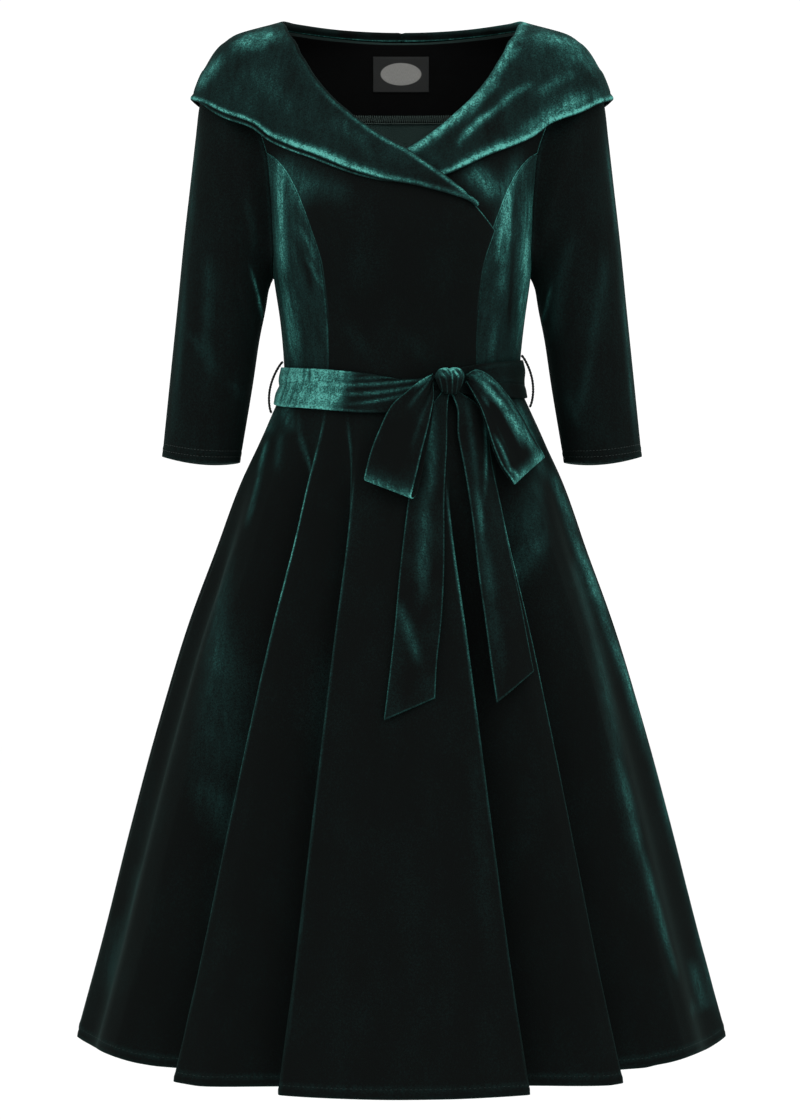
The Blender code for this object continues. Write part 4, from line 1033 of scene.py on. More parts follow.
def label_cloth():
    """Grey satin ribbon with a plain oval woven into its middle in off-white."""
    f = Finish("label satin")
    at = f.place()
    across, height = (f.node("ShaderNodeSeparateXYZ", None, {0: at}, axis) for axis in "XZ")
    middle = -LABEL["top"] - LABEL["height"] / 2
    half_wide, half_high = LABEL_OVAL
    reach = ((across - LABEL["x"]) / half_wide) ** 2.0 + ((height - middle) / half_high) ** 2.0
    oval_mask = 1 - reach.between(0.93, 1.03)
    lie = f.kept("lie", "Vector")
    weft = f.ribs(lie, "Y", 420.0, 0.5)
    warp = f.noise(f.stretched(lie, 3000, 400, 1), 1.0, 1)
    ground = f.mix(weft * 0.6 + warp * 0.4, (0.008, 0.009, 0.009, 1), (0.022, 0.024, 0.023, 1))
    figure = f.mix(warp * 0.7 + weft * 0.3, (0.16, 0.16, 0.15, 1), (0.42, 0.42, 0.40, 1))
    colour = f.mix(oval_mask, ground, figure)
    return f.done(colour, 0.58 + 0.2 * warp, weft * 0.5 + oval_mask * 0.6, 0.4, Specular_IOR_Level=0.3)


def finish_named(name):
    """A finish of the dress, made the first time that it is asked for."""
    made = bpy.data.materials.get(name)
    return made or FINISHES[name]()


# ---- settings ----

def length(name, text, default):
    return bpy.props.FloatProperty(name=name, description=text, default=default, unit="LENGTH", min=0)


def colour(name, text, default):
    return bpy.props.FloatVectorProperty(name=name, description=text, default=default,
                                         subtype="COLOR", size=3, min=0, max=1)


def share(name, text, default, top=1.0):
    return bpy.props.FloatProperty(name=name, description=text, default=default,
                                   subtype="FACTOR", min=0, max=top)


class DressSettings(bpy.types.PropertyGroup):
    """Cloth, pile, sewing and studio of the swing dress."""

    velvet_thick: length("Velvet", "Thickness of one layer of velvet", 0.0012)
    crease: share("Creases", "How deep the creases are", 1.0, 2.0)
    # Painted sheen where the cloth is seen edge-on
    rim: share("Side glow", "How far the pile opens when seen from the side", 0.14)
    grain: share("Grain", "How much the pile's grain breaks up its colour", 1.0, 2.0)
    sheen: share("Sheen", "Soft sheen of the pile", 0.03)
    shut: colour("Pile shut", "Colour where the pile lies shut", (0.0034, 0.0042, 0.0040))
    # Dusk, teal and bright are painted sheen colours, used as more sheen is painted; shut is the velvet's
    # own colour
    dusk: colour("Pile, dusk", "Colour where it begins to open", (0.0070, 0.0215, 0.0200))
    teal: colour("Pile, teal", "Colour where it is half open", (0.0200, 0.0900, 0.0800))
    bright: colour("Pile, bright", "Colour where it is wide open", (0.0950, 0.3800, 0.3300))
    teal_sheen: colour("Sheen colour", "Tint of the soft sheen", (0.10, 0.45, 0.36))
    stitch: length("Stitch", "Length of one stitch", 0.0026)
    pitch: length("Stitch pitch", "From one stitch to the next", 0.0034)
    thread_radius: length("Thread", "Radius of the sewing thread", 0.00022)
    thread_colour: colour("Thread colour", "Sewing thread", (0.030, 0.040, 0.038))
    overlock_colour: colour("Overlock", "Overlock thread of the facing", (0.055, 0.085, 0.075))
    paper: colour("Studio paper", "Floor and backdrop", (0.94, 0.94, 0.94))
    floor_drop: length("Floor", "How far the floor is below the origin", 1.30)
    distance: length("Camera distance", "From the camera to the dress's middle plane", 3.0)
    daylight: share("Daylight", "Strength of the light all round", 1.08, 5.0)
    key: bpy.props.FloatProperty(name="Key light", description="Power of the large soft light",
                                 default=9.0, unit="POWER", min=0)


def settings():
    return bpy.context.scene.dress


# ---- bodice ----

def patch(top, bottom, left, right, u, v):
    """Turns and drops inside four border lines, read at steps u across and v down: the two
    ruled surfaces between opposite borders, added, less the one through the corners."""
    u, v = u[None, :, None], v[:, None, None]
    ruled = (1 - v) * top[None] + v * bottom[None] + (1 - u) * left[:, None] + u * right[:, None]
    corners = (1 - v) * ((1 - u) * top[0] + u * top[-1]) + v * ((1 - u) * bottom[0] + u * bottom[-1])
    return ruled - corners


def pairs(turns, drops):
    return np.stack(np.broadcast_arrays(turns, drops), axis=-1)


def straight(start, end, steps):
    return start + (end - start) * steps[:, None]


def neck_seam(station):
    """Turn and drop of the seam between collar and bodice, at these collar rows."""
    value = collar_rows(station)
    return pairs(*from_fold(value, stand_height(value) + NECK_SEAM))


def outer_line(drop, gap):
    """Front armhole from the shoulder tip, then the princess seam to the waist (right half)."""
    meeting = PRINCESS["drop"][0] + PRINCESS_MEETS
    turn = np.where(drop < meeting, armhole_turn(drop), princess_turn(np.maximum(drop, meeting)))
    turn[0] = HALF - SHOULDER_TURN
    return pairs(np.concatenate([turn[:1], shifted(turn[1:], drop[1:], -gap)]), drop)


# Panels: rows and columns, and the share of the back's width that its neck edge leaves at each side
FRONT_GRID = {"neck": 240, "above": 64, "below": 60, "across": 104, "neck_tuck": 2.5 * SEAM}
SIDE_FRONT_GRID = (110, 44)
BACK_GRID = {"down": 120, "neck": 60, "shoulder": 24, "beside": 0.15}


def front_panel(lift):
    """The left front on the body form: a patch between shoulder and waist, armhole and princess
    seam on the left, neck seam and far princess seam on the right."""
    neck = neck_seam(np.linspace(SHOULDER_ROW, len(COLLAR["hang"]) - 1, FRONT_GRID["neck"]))
    neck[0] = SHOULDER_TURN - HALF, neck[0, 1] + NECK_SEAM
    neck[:, 1] += FRONT_GRID["neck_tuck"]
    part = (neck[-1, 1] - neck[0, 1]) / (WAIST - neck[0, 1])
    above, below = crowd(FRONT_GRID["above"])[:-1], crowd(FRONT_GRID["below"])
    v = np.concatenate([part * above, part + (1 - part) * below])
    u = crowd(FRONT_GRID["across"])
    left = outer_line(SHOULDER_TIP + (WAIST - SHOULDER_TIP) * v, SEAM / 2) * [-1, 1]
    drop = neck[0, 1] + (WAIST - neck[0, 1]) * v
    far = shifted(princess_turn(drop), drop, -SEAM / 2)
    right = pairs(np.where(v <= part, np.interp(drop, neck[:, 1], neck[:, 0]), far), drop)
    where = patch(straight(left[0], right[0], u), straight(left[-1], right[-1], u), left, right, u, v)
    turn, drop = where[..., 0], where[..., 1] - SEAM
    return on(torso_surface, turn, drop, lift(turn, drop))


def side_front_panel():
    """Between the princess seam, the armhole and the side seam, on the right half."""
    v, u = (crowd(count) for count in SIDE_FRONT_GRID)
    start = PRINCESS["drop"][0] + PRINCESS_MEETS
    drop = start + (WAIST - start) * v
    inner = pairs(shifted(princess_turn(drop), drop, SEAM / 2), drop)
    side = shifted(side_turn(drop), drop, -SEAM)
    outer = pairs(np.minimum(side, HALF - SEAM_TURN), drop)
    where = patch(straight(inner[0], outer[0], u), straight(inner[-1], outer[-1], u), inner, outer, u, v)
    return on(torso_surface, where[..., 0], where[..., 1] - SEAM)


def back_panel():
    """The whole back: shoulder seams and neck seam at the top, armholes and side seams beside."""
    drop = SHOULDER_TIP + (WAIST - SHOULDER_TIP) * crowd(BACK_GRID["down"])
    side = np.maximum(shifted(side_turn(drop, back=True), drop, SEAM), HALF + SEAM_TURN)
    side[0] = HALF + SHOULDER_TURN
    left, right = pairs(-side, drop), pairs(side - 2 * math.pi, drop)
    even, beside = np.linspace(0, 1, BACK_GRID["neck"]), BACK_GRID["beside"]
    neck = neck_seam(SHOULDER_ROW * (1 - even))
    neck[0, 0] = -HALF - SHOULDER_TURN
    shoulder = crowd(BACK_GRID["shoulder"])
    half = np.concatenate([straight(left[0], neck[0], shoulder), neck[1:]])
    u = np.concatenate([beside * shoulder, beside + (0.5 - beside) * even[1:]])
    u = np.concatenate([u, (1 - u)[::-1][1:]])
    top = np.concatenate([half, (half * [-1, 1] - [2 * math.pi, 0])[::-1][1:]])
    v = (drop - drop[0]) / (drop[-1] - drop[0])
    where = patch(top, straight(left[-1], right[-1], u), left, right, u, v)
    return on(torso_surface, where[..., 0], where[..., 1] - SEAM)[:, ::-1]


def mirrored(grid):
    """The same piece on the other side, with its faces still outwards."""
    return grid[:, ::-1] * np.array([-1, 1, 1])


# Painted sheen along the seams, all over and high up, and the drops where that fades
FRONT_SEAMS = {"over": 0.56, "under": 0.60, "fade": (0.20, 0.33)}
SIDE_FRONTS = {"seam": 0.14, "ground": 0.12, "high": 0.08, "fade": (0.20, 0.34)}
BACK_SEAM = 0.20


def add_bodice():
    both = ("left", "right")
    for name, grid, lit, rests_on in (
            ("over", front_panel(wrap_lift), both, ["front_under"]),
            ("under", mirrored(front_panel(under_lift)), both[1:], [])):
        grid, nap = creased(grid, BODICE_MARKS)
        grid, line = sewn(grid, lit, FRONT_SEAMS[name])
        # Painted sheen and shade from the strokes, and a painted highlight along the seams that fades
        # lower down
        nap = nap + line * (1 - ease(*FRONT_SEAMS["fade"], -grid[..., 2]))
        piece = single_layer("front_" + name, grid, nap)
        stand_for("bodice_front_" + name)
    for name, lit in (("right", both[:1]), ("left", both[1:])):
        grid = side_front_panel()
        grid, nap = creased(mirrored(grid) if name == "left" else grid, BODICE_MARKS)
        grid, line = sewn(grid, lit, SIDE_FRONTS["seam"])
        # Painted sheen on the side fronts: along the seam, all over, and more high up
        high = 1 - ease(*SIDE_FRONTS["fade"], -grid[..., 2])
        nap = nap + line + SIDE_FRONTS["ground"] + SIDE_FRONTS["high"] * high
        piece = single_layer("side_front_" + name, grid, nap)
        stand_for("bodice_side_front_" + name)
    # The back: painted sheen and shade from its strokes, and a painted highlight along its seams
    grid, nap = creased(back_panel(), BACK_MARKS)
    grid, line = sewn(grid, both, BACK_SEAM)
    piece = single_layer("back", grid, nap + line)
    stand_for("bodice_back")


# ---- sleeves ----

def sleeve_rings(station, angle):
    """Rings from the armhole to the hem, ovals that lean with the arm; the first is drawn to the
    armhole seam, and front and back of the hem hang lower."""
    value = between_rows(SLEEVE, station)
    up, ahead = np.cos(angle), np.sin(angle)
    x = (value["outer_x"] + value["inner_x"]) / 2 + up * (value["outer_x"] - value["inner_x"]) / 2
    drop = (value["outer_drop"] + value["inner_drop"]) / 2
    drop = drop + up * (value["outer_drop"] - value["inner_drop"]) / 2
    x = x - value["bow"] * ahead ** 2
    y = value["middle"] - value["depth"] * ahead
    last = len(SLEEVE["depth"]) - 1
    cuff = np.clip(station - last + CUFF_ROWS, 0, None) / CUFF_ROWS
    return points(x, y, -drop - CUFF_SAG * cuff * ahead ** 2)


# The sleeve's points around and down; its head starts this far behind the armhole's edge, away
# from the ring at one row, and turns from the armhole's form into its own down to another row
SLEEVE_GRID = (150, 170)
SLEEVE_HEAD = {"tuck": 3.5 * SEAM, "toward": 18 / 11, "own_form": 2.2}


def sleeve_grid():
    around, down = SLEEVE_GRID
    angle = HALF - np.arange(around) / around * 2 * math.pi
    station = (len(SLEEVE["depth"]) - 1) * crowd(down)[:, None]
    rings = sleeve_rings(station, angle)
    toward = sleeve_rings(np.array([[SLEEVE_HEAD["toward"]]]), angle)[0]
    head = armhole_ring(angle)
    head = head + unit(toward - head) * SLEEVE_HEAD["tuck"]
    blend = 1 - ease(0, SLEEVE_HEAD["own_form"], station)[..., None]
    return rings * (1 - blend) + (head + (rings - rings[0])) * blend


# Strokes of the sleeve's front and back fade as its normal turns, by how far that points back
SLEEVE_FRONT, SLEEVE_BACK = (0.10, -0.25), (-0.10, 0.25)

# Ridges: the armhole seam and its light, the two rows of the cuff, and the light on its edge
HEAD_TUCK, HEAD_LIGHT = (-0.0009, 0.0, 0.0025), (0.06, 0.003, 0.0016)
CUFF_TUCKS = ((-0.0004, 0.0118, 0.0010), (-0.0003, 0.0058, 0.0010))
CUFF_LIGHT = (0.05, 0.001, 0.001)
CUFF_FOLD = {"thick": 0.0003, "ends": (0.011, 0.013)}
# Painted sheen all over the sleeve
SLEEVE_GROUND = 0.02


def add_sleeves():
    chosen = settings()
    stitch = (finish_named("sewing thread"), chosen.pitch, chosen.stitch, chosen.thread_radius)
    for name in ("right", "left"):
        grid = sleeve_grid()
        grid = mirrored(grid) if name == "left" else grid
        backwards = normals(grid, ring=True)[..., 1]
        grid, nap = creased(grid, SLEEVE_MARKS, ease(*SLEEVE_FRONT, backwards), ring=True)
        grid, far = creased(grid, SLEEVE_BACK_MARKS, ease(*SLEEVE_BACK, backwards), ring=True)
        down = run_down(grid)
        hem = down[-1:] - down
        out = normals(grid, ring=True)
        tuck = ridges(down, HEAD_TUCK) + ridges(hem, *CUFF_TUCKS)
        tuck = tuck + CUFF_FOLD["thick"] * (1 - ease(*CUFF_FOLD["ends"], hem))
        grid = grid + tuck[..., None] * out
        # Painted sheen and shade: strokes in front and behind, all over, along the armhole seam and on
        # the cuff's edge
        nap = nap + far + SLEEVE_GROUND + ridges(down, HEAD_LIGHT) + ridges(hem, CUFF_LIGHT)
        piece = single_layer("sleeve_" + name + "_velvet", grid, nap, ring=True)
        sewing = []
        for number, (_, height, _) in enumerate(CUFF_TUCKS, 1):
            row = row_at(hem, height)
            path, facing = (np.concatenate([line[row], line[row, :2]]) for line in (grid, out))
            sewing.append(stitches(f"cuff_stitches_{name}_{number}", path, facing, *stitch))
        stand_for("sleeve_" + name, with_pieces=sewing)


# ---- collar, facing, label ----

# Columns of a collar half and rows of its stand, fold and fall; then the length that turns over
# at the fold, at most and as a share of the stand, and how far it is rounded
COLLAR_GRID = {"columns": 230, "stand": 16, "fold": 15, "fall": 52}
FOLD_OVER = {"most": 0.0028, "of_stand": 0.4, "round": 0.95}


def collar_grid(last, lift):
    """Sections from centre back to the wrap end: up the stand inside the neck, over the fold in a
    half circle, and down the fall, which comes off the body form towards its edge."""
    value = collar_rows(np.linspace(0, last, COLLAR_GRID["columns"]))
    value["fold_turn"][0] += 2 * SEAM_TURN
    value["edge_turn"][0] += 2 * SEAM_TURN
    stand = stand_height(value)
    turn_over = np.minimum(FOLD_OVER["most"], stand * FOLD_OVER["of_stand"])
    fall_off = COLLAR_CLEAR + TURNED
    reach = (fall_off + TURNED) / 2

    def along(away, out):
        turn, drop = from_fold(value, away)
        return on(torso_surface, turn, drop, out + lift(turn, drop))

    section = [along(stand + (turn_over - stand) * s, -TURNED)
               for s in crowd(COLLAR_GRID["stand"])[:-1]]
    for angle in np.linspace(0, math.pi, COLLAR_GRID["fold"])[:-1]:
        section.append(along(turn_over * (1 - FOLD_OVER["round"] * math.sin(angle)),
                             (fall_off - TURNED) / 2 - reach * math.cos(angle)))
    fold = len(section)
    start_turn, start_drop = from_fold(value, turn_over)
    for s in crowd(COLLAR_GRID["fall"]):
        turn = start_turn + (value["edge_turn"] - start_turn) * s
        drop = start_drop + (value["edge_drop"] - start_drop) * s ** value["hang"]
        out = fall_off + (value["edge_off"] - fall_off) * s ** FALL_CURVE
        section.append(on(torso_surface, turn, drop, out + lift(turn, drop)))
    return np.stack(section), fold


# The collar's fall begins and ends over these lengths; its edge rolls up behind a sewn line
COLLAR_FALL = {"edge": (0.0, 0.012), "fold": (0.001, 0.006)}
COLLAR_ROLL, COLLAR_SEAM = (0.0011, 0.0030, 0.0024), (-0.0005, 0.0072, 0.0018)
COLLAR_WAVE = {"height": 0.0006, "grows": (0.02, 0.06), "steps": (2.3, 0.9), "start": 0.7}
# Where the painted highlight along the rolled edge lies, and its width outside that
COLLAR_EDGE = {"at": 0.0022, "outside": 0.0014}

# The share of a stroke that reaches the collar's rims, and how far it reaches over the fold
COLLAR_RIM = {"share": 0.25, "fold": 0.002}

# Where the strokes of its front and back fade, by y, and the light on the neck seam, by rows
COLLAR_FRONT, COLLAR_BACK = (0.06, -0.06), (-0.02, 0.06)
NECK_LINE, NECK_LINE_ROWS = (0.60, 0.0012, 0.0009), (6.5, 5.5)


# Each half ends at this row, where the wrap takes it in
COLLAR_END = {"left": 120 / 7, "right": 104 / 7}


def add_collar():
    for side, lift in (("left", wrap_lift), ("right", under_lift)):
        last = COLLAR_END[side]
        grid, fold = collar_grid(last, lift)
        station = np.linspace(0, last, grid.shape[1])
        run = run_down(grid)
        beyond, edge = run - run[fold:fold + 1], run[-1:] - run
        fall = ease(*COLLAR_FALL["edge"], edge) * ease(*COLLAR_FALL["fold"], beyond)
        light = {name: np.interp(station, COLLAR_LIGHT["row"], COLLAR_LIGHT[f"{name}_{side}"])
                 for name in ("fold", "edge", "body", "wide")}
        puff = ridges(edge, COLLAR_ROLL) * (beyond > 0) + ridges(edge, COLLAR_SEAM)
        fast, slow = COLLAR_WAVE["steps"]
        wave = np.sin(station * fast + COLLAR_WAVE["start"]) * np.sin(station * slow)
        puff = puff + COLLAR_WAVE["height"] * wave * ease(*COLLAR_WAVE["grows"], beyond)
        grid = raised(grid, puff)
        if side == "right":
            grid = mirrored(grid)
            beyond, edge, fall, run = (part[:, ::-1] for part in (beyond, edge, fall, run))
            station, light = station[::-1], {name: row[::-1] for name, row in light.items()}
        front = ease(*COLLAR_FRONT, grid[..., 1]) * (beyond > -COLLAR_RIM["fold"])
        share = COLLAR_RIM["share"] + (1 - COLLAR_RIM["share"]) * fall
        grid, nap = creased(grid, COLLAR_MARKS, front * share)
        grid, far = creased(grid, COLLAR_BACK_MARKS, ease(*COLLAR_BACK, grid[..., 1]) * fall)
        # Painted sheen and shade: strokes in front and behind, over the body, on the fold, along the
        # rolled edge and on the neck seam
        nap = nap + far + light["body"] * (beyond > 0)
        nap = nap + light["fold"] * bell(beyond - COLLAR_FOLD["at"], COLLAR_FOLD[side])
        wide = np.where(edge < COLLAR_EDGE["at"], COLLAR_EDGE["outside"], light["wide"])
        nap = nap + light["edge"] * bell(edge - COLLAR_EDGE["at"], wide) * (beyond > 0)
        nap = nap + ridges(run, NECK_LINE) * ease(*NECK_LINE_ROWS, station)
        piece = turned_out("collar_" + side + "_velvet", grid, nap, "collar velvet pile")
        stand_for("collar_" + side)
    add_collar_underlayer()


# The strip under the collar's edge: between which collar rows, how far it is tucked in and how far
# it reaches, as shares of the fall
UNDER_EDGE = {"rows": (4.3, 13.6), "columns": 150, "down": 20, "tucked": 0.16, "ends": 0.12,
              "middle": 0.115, "light": (0.55, 0.0010, 0.0010), "thick": 0.0012}


def add_collar_underlayer():
    """The under layer of the upper collar shows as a narrow second edge beyond the first: a strip
    just beneath the fall's form that reaches past its edge between its two ends."""
    value = collar_rows(np.linspace(*UNDER_EDGE["rows"], UNDER_EDGE["columns"]))
    turn = value["edge_turn"] - value["fold_turn"]
    drop = value["edge_drop"] - value["fold_drop"]
    fade = np.sin(np.linspace(0, math.pi, UNDER_EDGE["columns"])) ** 0.5
    section = []
    for s in crowd(UNDER_EDGE["down"]):
        past = 1 - UNDER_EDGE["tucked"] + (UNDER_EDGE["ends"] + UNDER_EDGE["middle"] * fade) * s
        at_turn = value["fold_turn"] + turn * past
        at_drop = value["fold_drop"] + drop * past ** value["hang"]
        off = COLLAR_CLEAR - UNDER_GAP
        off = off + (value["edge_off"] - COLLAR_CLEAR - TURNED) * past ** FALL_CURVE
        section.append(on(torso_surface, at_turn, at_drop, off + wrap_lift(at_turn, at_drop)))
    grid = np.stack(section)
    down = run_down(grid)
    # A painted highlight along the strip's edge
    nap = ridges(down[-1:] - down, UNDER_EDGE["light"]) * fade
    piece = turned_out("collar_left_under_edge", grid, nap, "collar velvet pile",
                       thick=UNDER_EDGE["thick"])


def cut_level(grid, drop):
    """The grid's columns, cut at the drops given for each row and column."""
    column = [[np.interp(drop[:, i], -grid[:, i, 2], grid[:, i, axis]) for axis in range(3)]
              for i in range(grid.shape[1])]
    return np.array(column).transpose(2, 0, 1)


# The facing: how many columns of the back it leaves at each end, its half turn, its lower edge
# and how far that rises between these turns
FACING = {"columns": 29, "rows": 40, "turn": 77, "below_seam": 0.0015, "drop": 0.089, "rise": 0.050,
          "rises": (0.5, 1.35)}
OVERLOCK = {"pitch": 0.0023, "height": 0.0062, "radius": 0.00038, "proud": 0.0004,
            "chain_radius": 0.0005, "chain_proud": 0.0003, "chain_past": 0.05}


def neck_facing():
    """The facing lies inside the back: its columns between the shoulders, cut to an arc below."""
    panel = back_panel()[:, FACING["columns"]:-FACING["columns"]]
    turn = np.linspace(-1, 1, panel.shape[1]) * math.radians(FACING["turn"])
    high = -panel[0, :, 2] + FACING["below_seam"]
    low = FACING["drop"] - FACING["rise"] * ease(*FACING["rises"], np.abs(turn))
    facing = cut_level(panel, high + (low - high) * crowd(FACING["rows"])[:, None])
    return raised(facing, -settings().velvet_thick - CLEAR)


def overlock(facing):
    """Thread over the facing's lower edge: a zigzag as a sine, and a chain along it."""
    inside = raised(facing, -settings().velvet_thick)
    across = run_across(facing)[-1]
    count = int(across[-1] / OVERLOCK["pitch"])
    step = np.linspace(0, across[-1], count * 8)
    zigzag = 0.5 + 0.5 * np.sin(np.linspace(0, 2 * math.pi * count, count * 8))
    down = run_down(facing)
    row = row_at(down[-1:] - down, OVERLOCK["height"])
    edge, above = line_at(step, across, inside[-1]), line_at(step, across, inside[row])
    out = line_at(step, across, -normals(facing)[-1])
    path = edge + (above - edge) * zigzag[:, None] + OVERLOCK["proud"] * out
    chain = edge + OVERLOCK["chain_proud"] * out + (edge - above) * OVERLOCK["chain_past"]
    pieces = []
    for name, line, radius, around in (("facing_overlock", path, OVERLOCK["radius"], 5),
                                       ("facing_overlock_chain", chain, OVERLOCK["chain_radius"], 6)):
        pieces.append(round_form(name, tube_rings(line, out, radius, around),
                                 finish_named("overlock thread")))
    return pieces


def add_neck_back():
    """The facing with its overlocked edge, and the label on it."""
    facing = neck_facing()
    twill = finish_named("black twill")
    piece = cloth("neck_facing", facing, settings().velvet_thick, [twill, twill])
    stand_for("back_neck_facing",
              overlock(facing))
    add_label(facing)


LABEL_GRID = (30, 50)       # rows and columns; the stitches run in from its edge by the next two
LABEL_INSET = (4, 5)
LABEL_STITCH = (0.0026, 0.0019, 0.00018)    # their pitch, length and radius


def add_label(facing):
    """A woven rectangle on the inside of the facing, stitched down along its top and sides."""
    (rows, columns), (down, side) = LABEL_GRID, LABEL_INSET
    drop = LABEL["top"] + LABEL["height"] * crowd(rows)[:, None]
    level = cut_level(facing, drop + np.zeros(facing.shape[1]))
    x = LABEL["x"] + LABEL["width"] * (0.5 - crowd(columns))
    y = [np.interp(x, row[::-1, 0], row[::-1, 1]) for row in level]
    label = raised(points(x, np.array(y), -drop), -settings().velvet_thick - CLEAR)
    satin = finish_named("label satin")
    piece = cloth("neck_label", label, LABEL["thick"], [satin, satin])
    inner = raised(label, -LABEL["thick"] - 0.0001)[down:-down, side:-side]
    path, out = (np.concatenate([part[::-1, 0], part[0], part[:, -1]])
                 for part in (inner, -normals(inner)))
    sewing = stitches("label_stitches", path, out, finish_named("sewing thread"), *LABEL_STITCH)
    stand_for("back_neck_label", [sewing])


# ---- skirt ----

HEM_STEPS = 3000        # for measuring the hem's length
SKIRT_GRID = (400, 120)     # columns and rows
ROW_CROWD = {"share": 0.28, "power": 1.1}   # how far its rows crowd at both ends, and at the waist
RIPPLE = {"height": 0.0012, "grows": (0.42, 0.62)}


def hem_turns(start, end, steps):
    """Turns that cut the hem between two turns at these shares of its length."""
    fine = np.linspace(start, end, HEM_STEPS)
    hem = skirt_surface(fine, np.full(fine.shape, HEM))
    length = np.concatenate([[0], np.cumsum(np.linalg.norm(np.diff(hem, axis=0), axis=1))])
    return np.interp(steps, length / length[-1], fine)


# Lips of the folds: width over the fold's spread, the share of the drop over which their light
# changes, how sharply they bend where they are lit, and their strength
LIPS = {"wide": 1.5, "lower": (0.0, 0.75), "bends": (120, 330), "light": 1.45}


def lip_light(turn, drop):
    """How bright the lips of the folds are: a bell over each fold, stronger near the waist."""
    light = np.zeros(np.shape(turn))
    lower = ease(*LIPS["lower"], (drop - WAIST) / (HEM - WAIST))
    for (off, spread), top, low in zip(folds(turn, drop, "spread"), *LIP_LIGHT.values()):
        here = bell(off, np.radians(spread * LIPS["wide"]))
        light = np.maximum(light, here * (top + (low - top) * lower))
    return light


# The drawn hem: it begins this far out from the middle, and this far behind it hangs higher
HEM_DRAWN = {"beside": (0.245, 0.268), "behind": 0.004, "grows": (0.0, 0.06)}


def drawn_hem(turn):
    """The hem's drop, drawn to its line seen from the front, and kept above that line behind."""
    hem = hem_level(turn)
    for _ in range(2):
        place = skirt_surface(turn, hem)
        near = 1 + place[..., 1] / settings().distance
        out = np.abs(place[..., 0]) / near
        line = -VIEW_MIDDLE[1] + (read(HEM_SEEN, "out", "drop", out) + VIEW_MIDDLE[1]) * near
        front = hem + (line - hem) * ease(*HEM_DRAWN["beside"], out)
        behind = HEM_DRAWN["behind"] * ease(*HEM_DRAWN["grows"], place[..., 1])
        hem = np.where(np.cos(turn) > 0, front, np.minimum(hem, line - behind))
    return hem


def skirt_panel(start, end, columns, rows):
    """Grain lines from the waist seam to the hem on the folded form, at even lengths of hem."""
    steps = np.linspace(0, 1, columns)
    turn = hem_turns(start, end, steps)[None, :]
    crowding, power = ROW_CROWD.values()
    down = (1 - crowding) * np.linspace(0, 1, rows) ** power + crowding * crowd(rows)
    hem = drawn_hem(turn)
    drop = WAIST + SEAM + (hem - WAIST - SEAM) * down[:, None]
    wide = read(SKIRT, "drop", "half_width", drop[:, :1])
    side = (1 - 2 * steps[None, :]) * SEAM / 2 / wide
    turn = turn + side
    return skirt_surface(turn, drop), turn, drop


# The hem: how thick its fold stands, where that ends, its row of stitches and the light along it
HEM_FOLD = {"thick": 0.0004, "ends": (0.0065, 0.0085), "stitched": 0.0072}
HEM_ROW = (-0.0004, 0.0075, 0.0009)
HEM_STITCH = (0.0046, 0.0024, 0.00020, 0.6)     # pitch, length, radius and how deep its ends go
HEM_LIGHT = ((0.18, 0.0012, 0.0010), (0.08, 0.0085, 0.0012))


def add_skirt():
    crease = settings().crease
    for name, start, strokes_on in (("front", -HALF, SKIRT_MARKS), ("back", HALF, SKIRT_BACK_MARKS)):
        grid, turn, drop = skirt_panel(start, start + math.pi, *SKIRT_GRID)
        flat_x = read(SKIRT, "drop", "half_width", drop) * np.sin(turn)
        # Painted sheen and shade from the strokes, and a painted highlight on the fold lips where the
        # cloth bends sharply
        lift, nap = strokes(strokes_on, flat_x, drop)
        lips = LIPS["light"] * ease(*LIPS["bends"], bend(grid)) * lip_light(turn, drop)
        ripple = np.sin(turn * 23 + 2.2 * np.sin(turn * 3))
        ripple = RIPPLE["height"] * ripple * ease(*RIPPLE["grows"], drop)
        down = run_down(grid)
        hem = down[-1:] - down
        side = from_rim(run_across(grid), axis=1)
        turned = HEM_FOLD["thick"] * (1 - ease(*HEM_FOLD["ends"], hem)) + ridges(hem, HEM_ROW)
        grid = raised(grid, (lift + ripple) * crease + turned + ridges(side, SEAM_ROLL))
        piece = single_layer("skirt_" + name + "_velvet", grid, nap + lips + ridges(hem, *HEM_LIGHT))
        row = row_at(hem, HEM_FOLD["stitched"])
        sewing = stitches("hem_stitches_" + name, grid[row], normals(grid)[row],
                          finish_named("hem thread"), *HEM_STITCH)
        stand_for("skirt_" + name, [sewing])


# ---- belt ----

# Between these degrees from centre front the belt comes off the wrap and hugs the waist
BELT_HUGS = (40, 65)
BAND_GRID = (420, 34)       # points around, and rows


def belt_band(around, steps):
    """A band that hugs the waist, eased over the wrap in front and bulging elsewhere as a sine."""
    turn = (-HALF + np.arange(around) / around * 2 * math.pi)[None, :]
    degrees = np.degrees(turn)
    top = smooth(BELT["turn"], BELT["top"], degrees)
    bottom = smooth(BELT["turn"], BELT["bottom"], degrees)
    drop = top + (bottom - top) * steps[:, None]
    beside = ease(*BELT_HUGS, np.abs((degrees + 180) % 360 - 180))
    hug = BELT_HUG + BELT_BULGE * np.sin(math.pi * steps[:, None])
    out = TURNED + BELT_EASE + (hug - BELT_EASE) * beside
    body = on(torso_surface, turn, np.minimum(drop, WAIST), out)
    skirt = on(skirt_crests, turn, np.maximum(drop, WAIST), out)
    return np.where((drop < WAIST)[..., None], body, skirt), turn


# Creases round the belt, and its light: on the left in front, in the bright patch there, which has
# a slanting edge, along both edges, and over front and back
BAND_SAG = (0.0008, 0.5, 0.34)
BAND_LIT = {"left": (-0.015, -0.06), "patch": 0.62, "patch_from": (-0.044, -0.066), "slant": 0.014,
            "slant_middle": 0.35, "below": (0.24, 0.0012, 0.0014),
            "above": (0.12, 0.0012, 0.0012), "front": 0.02, "back": 0.10}


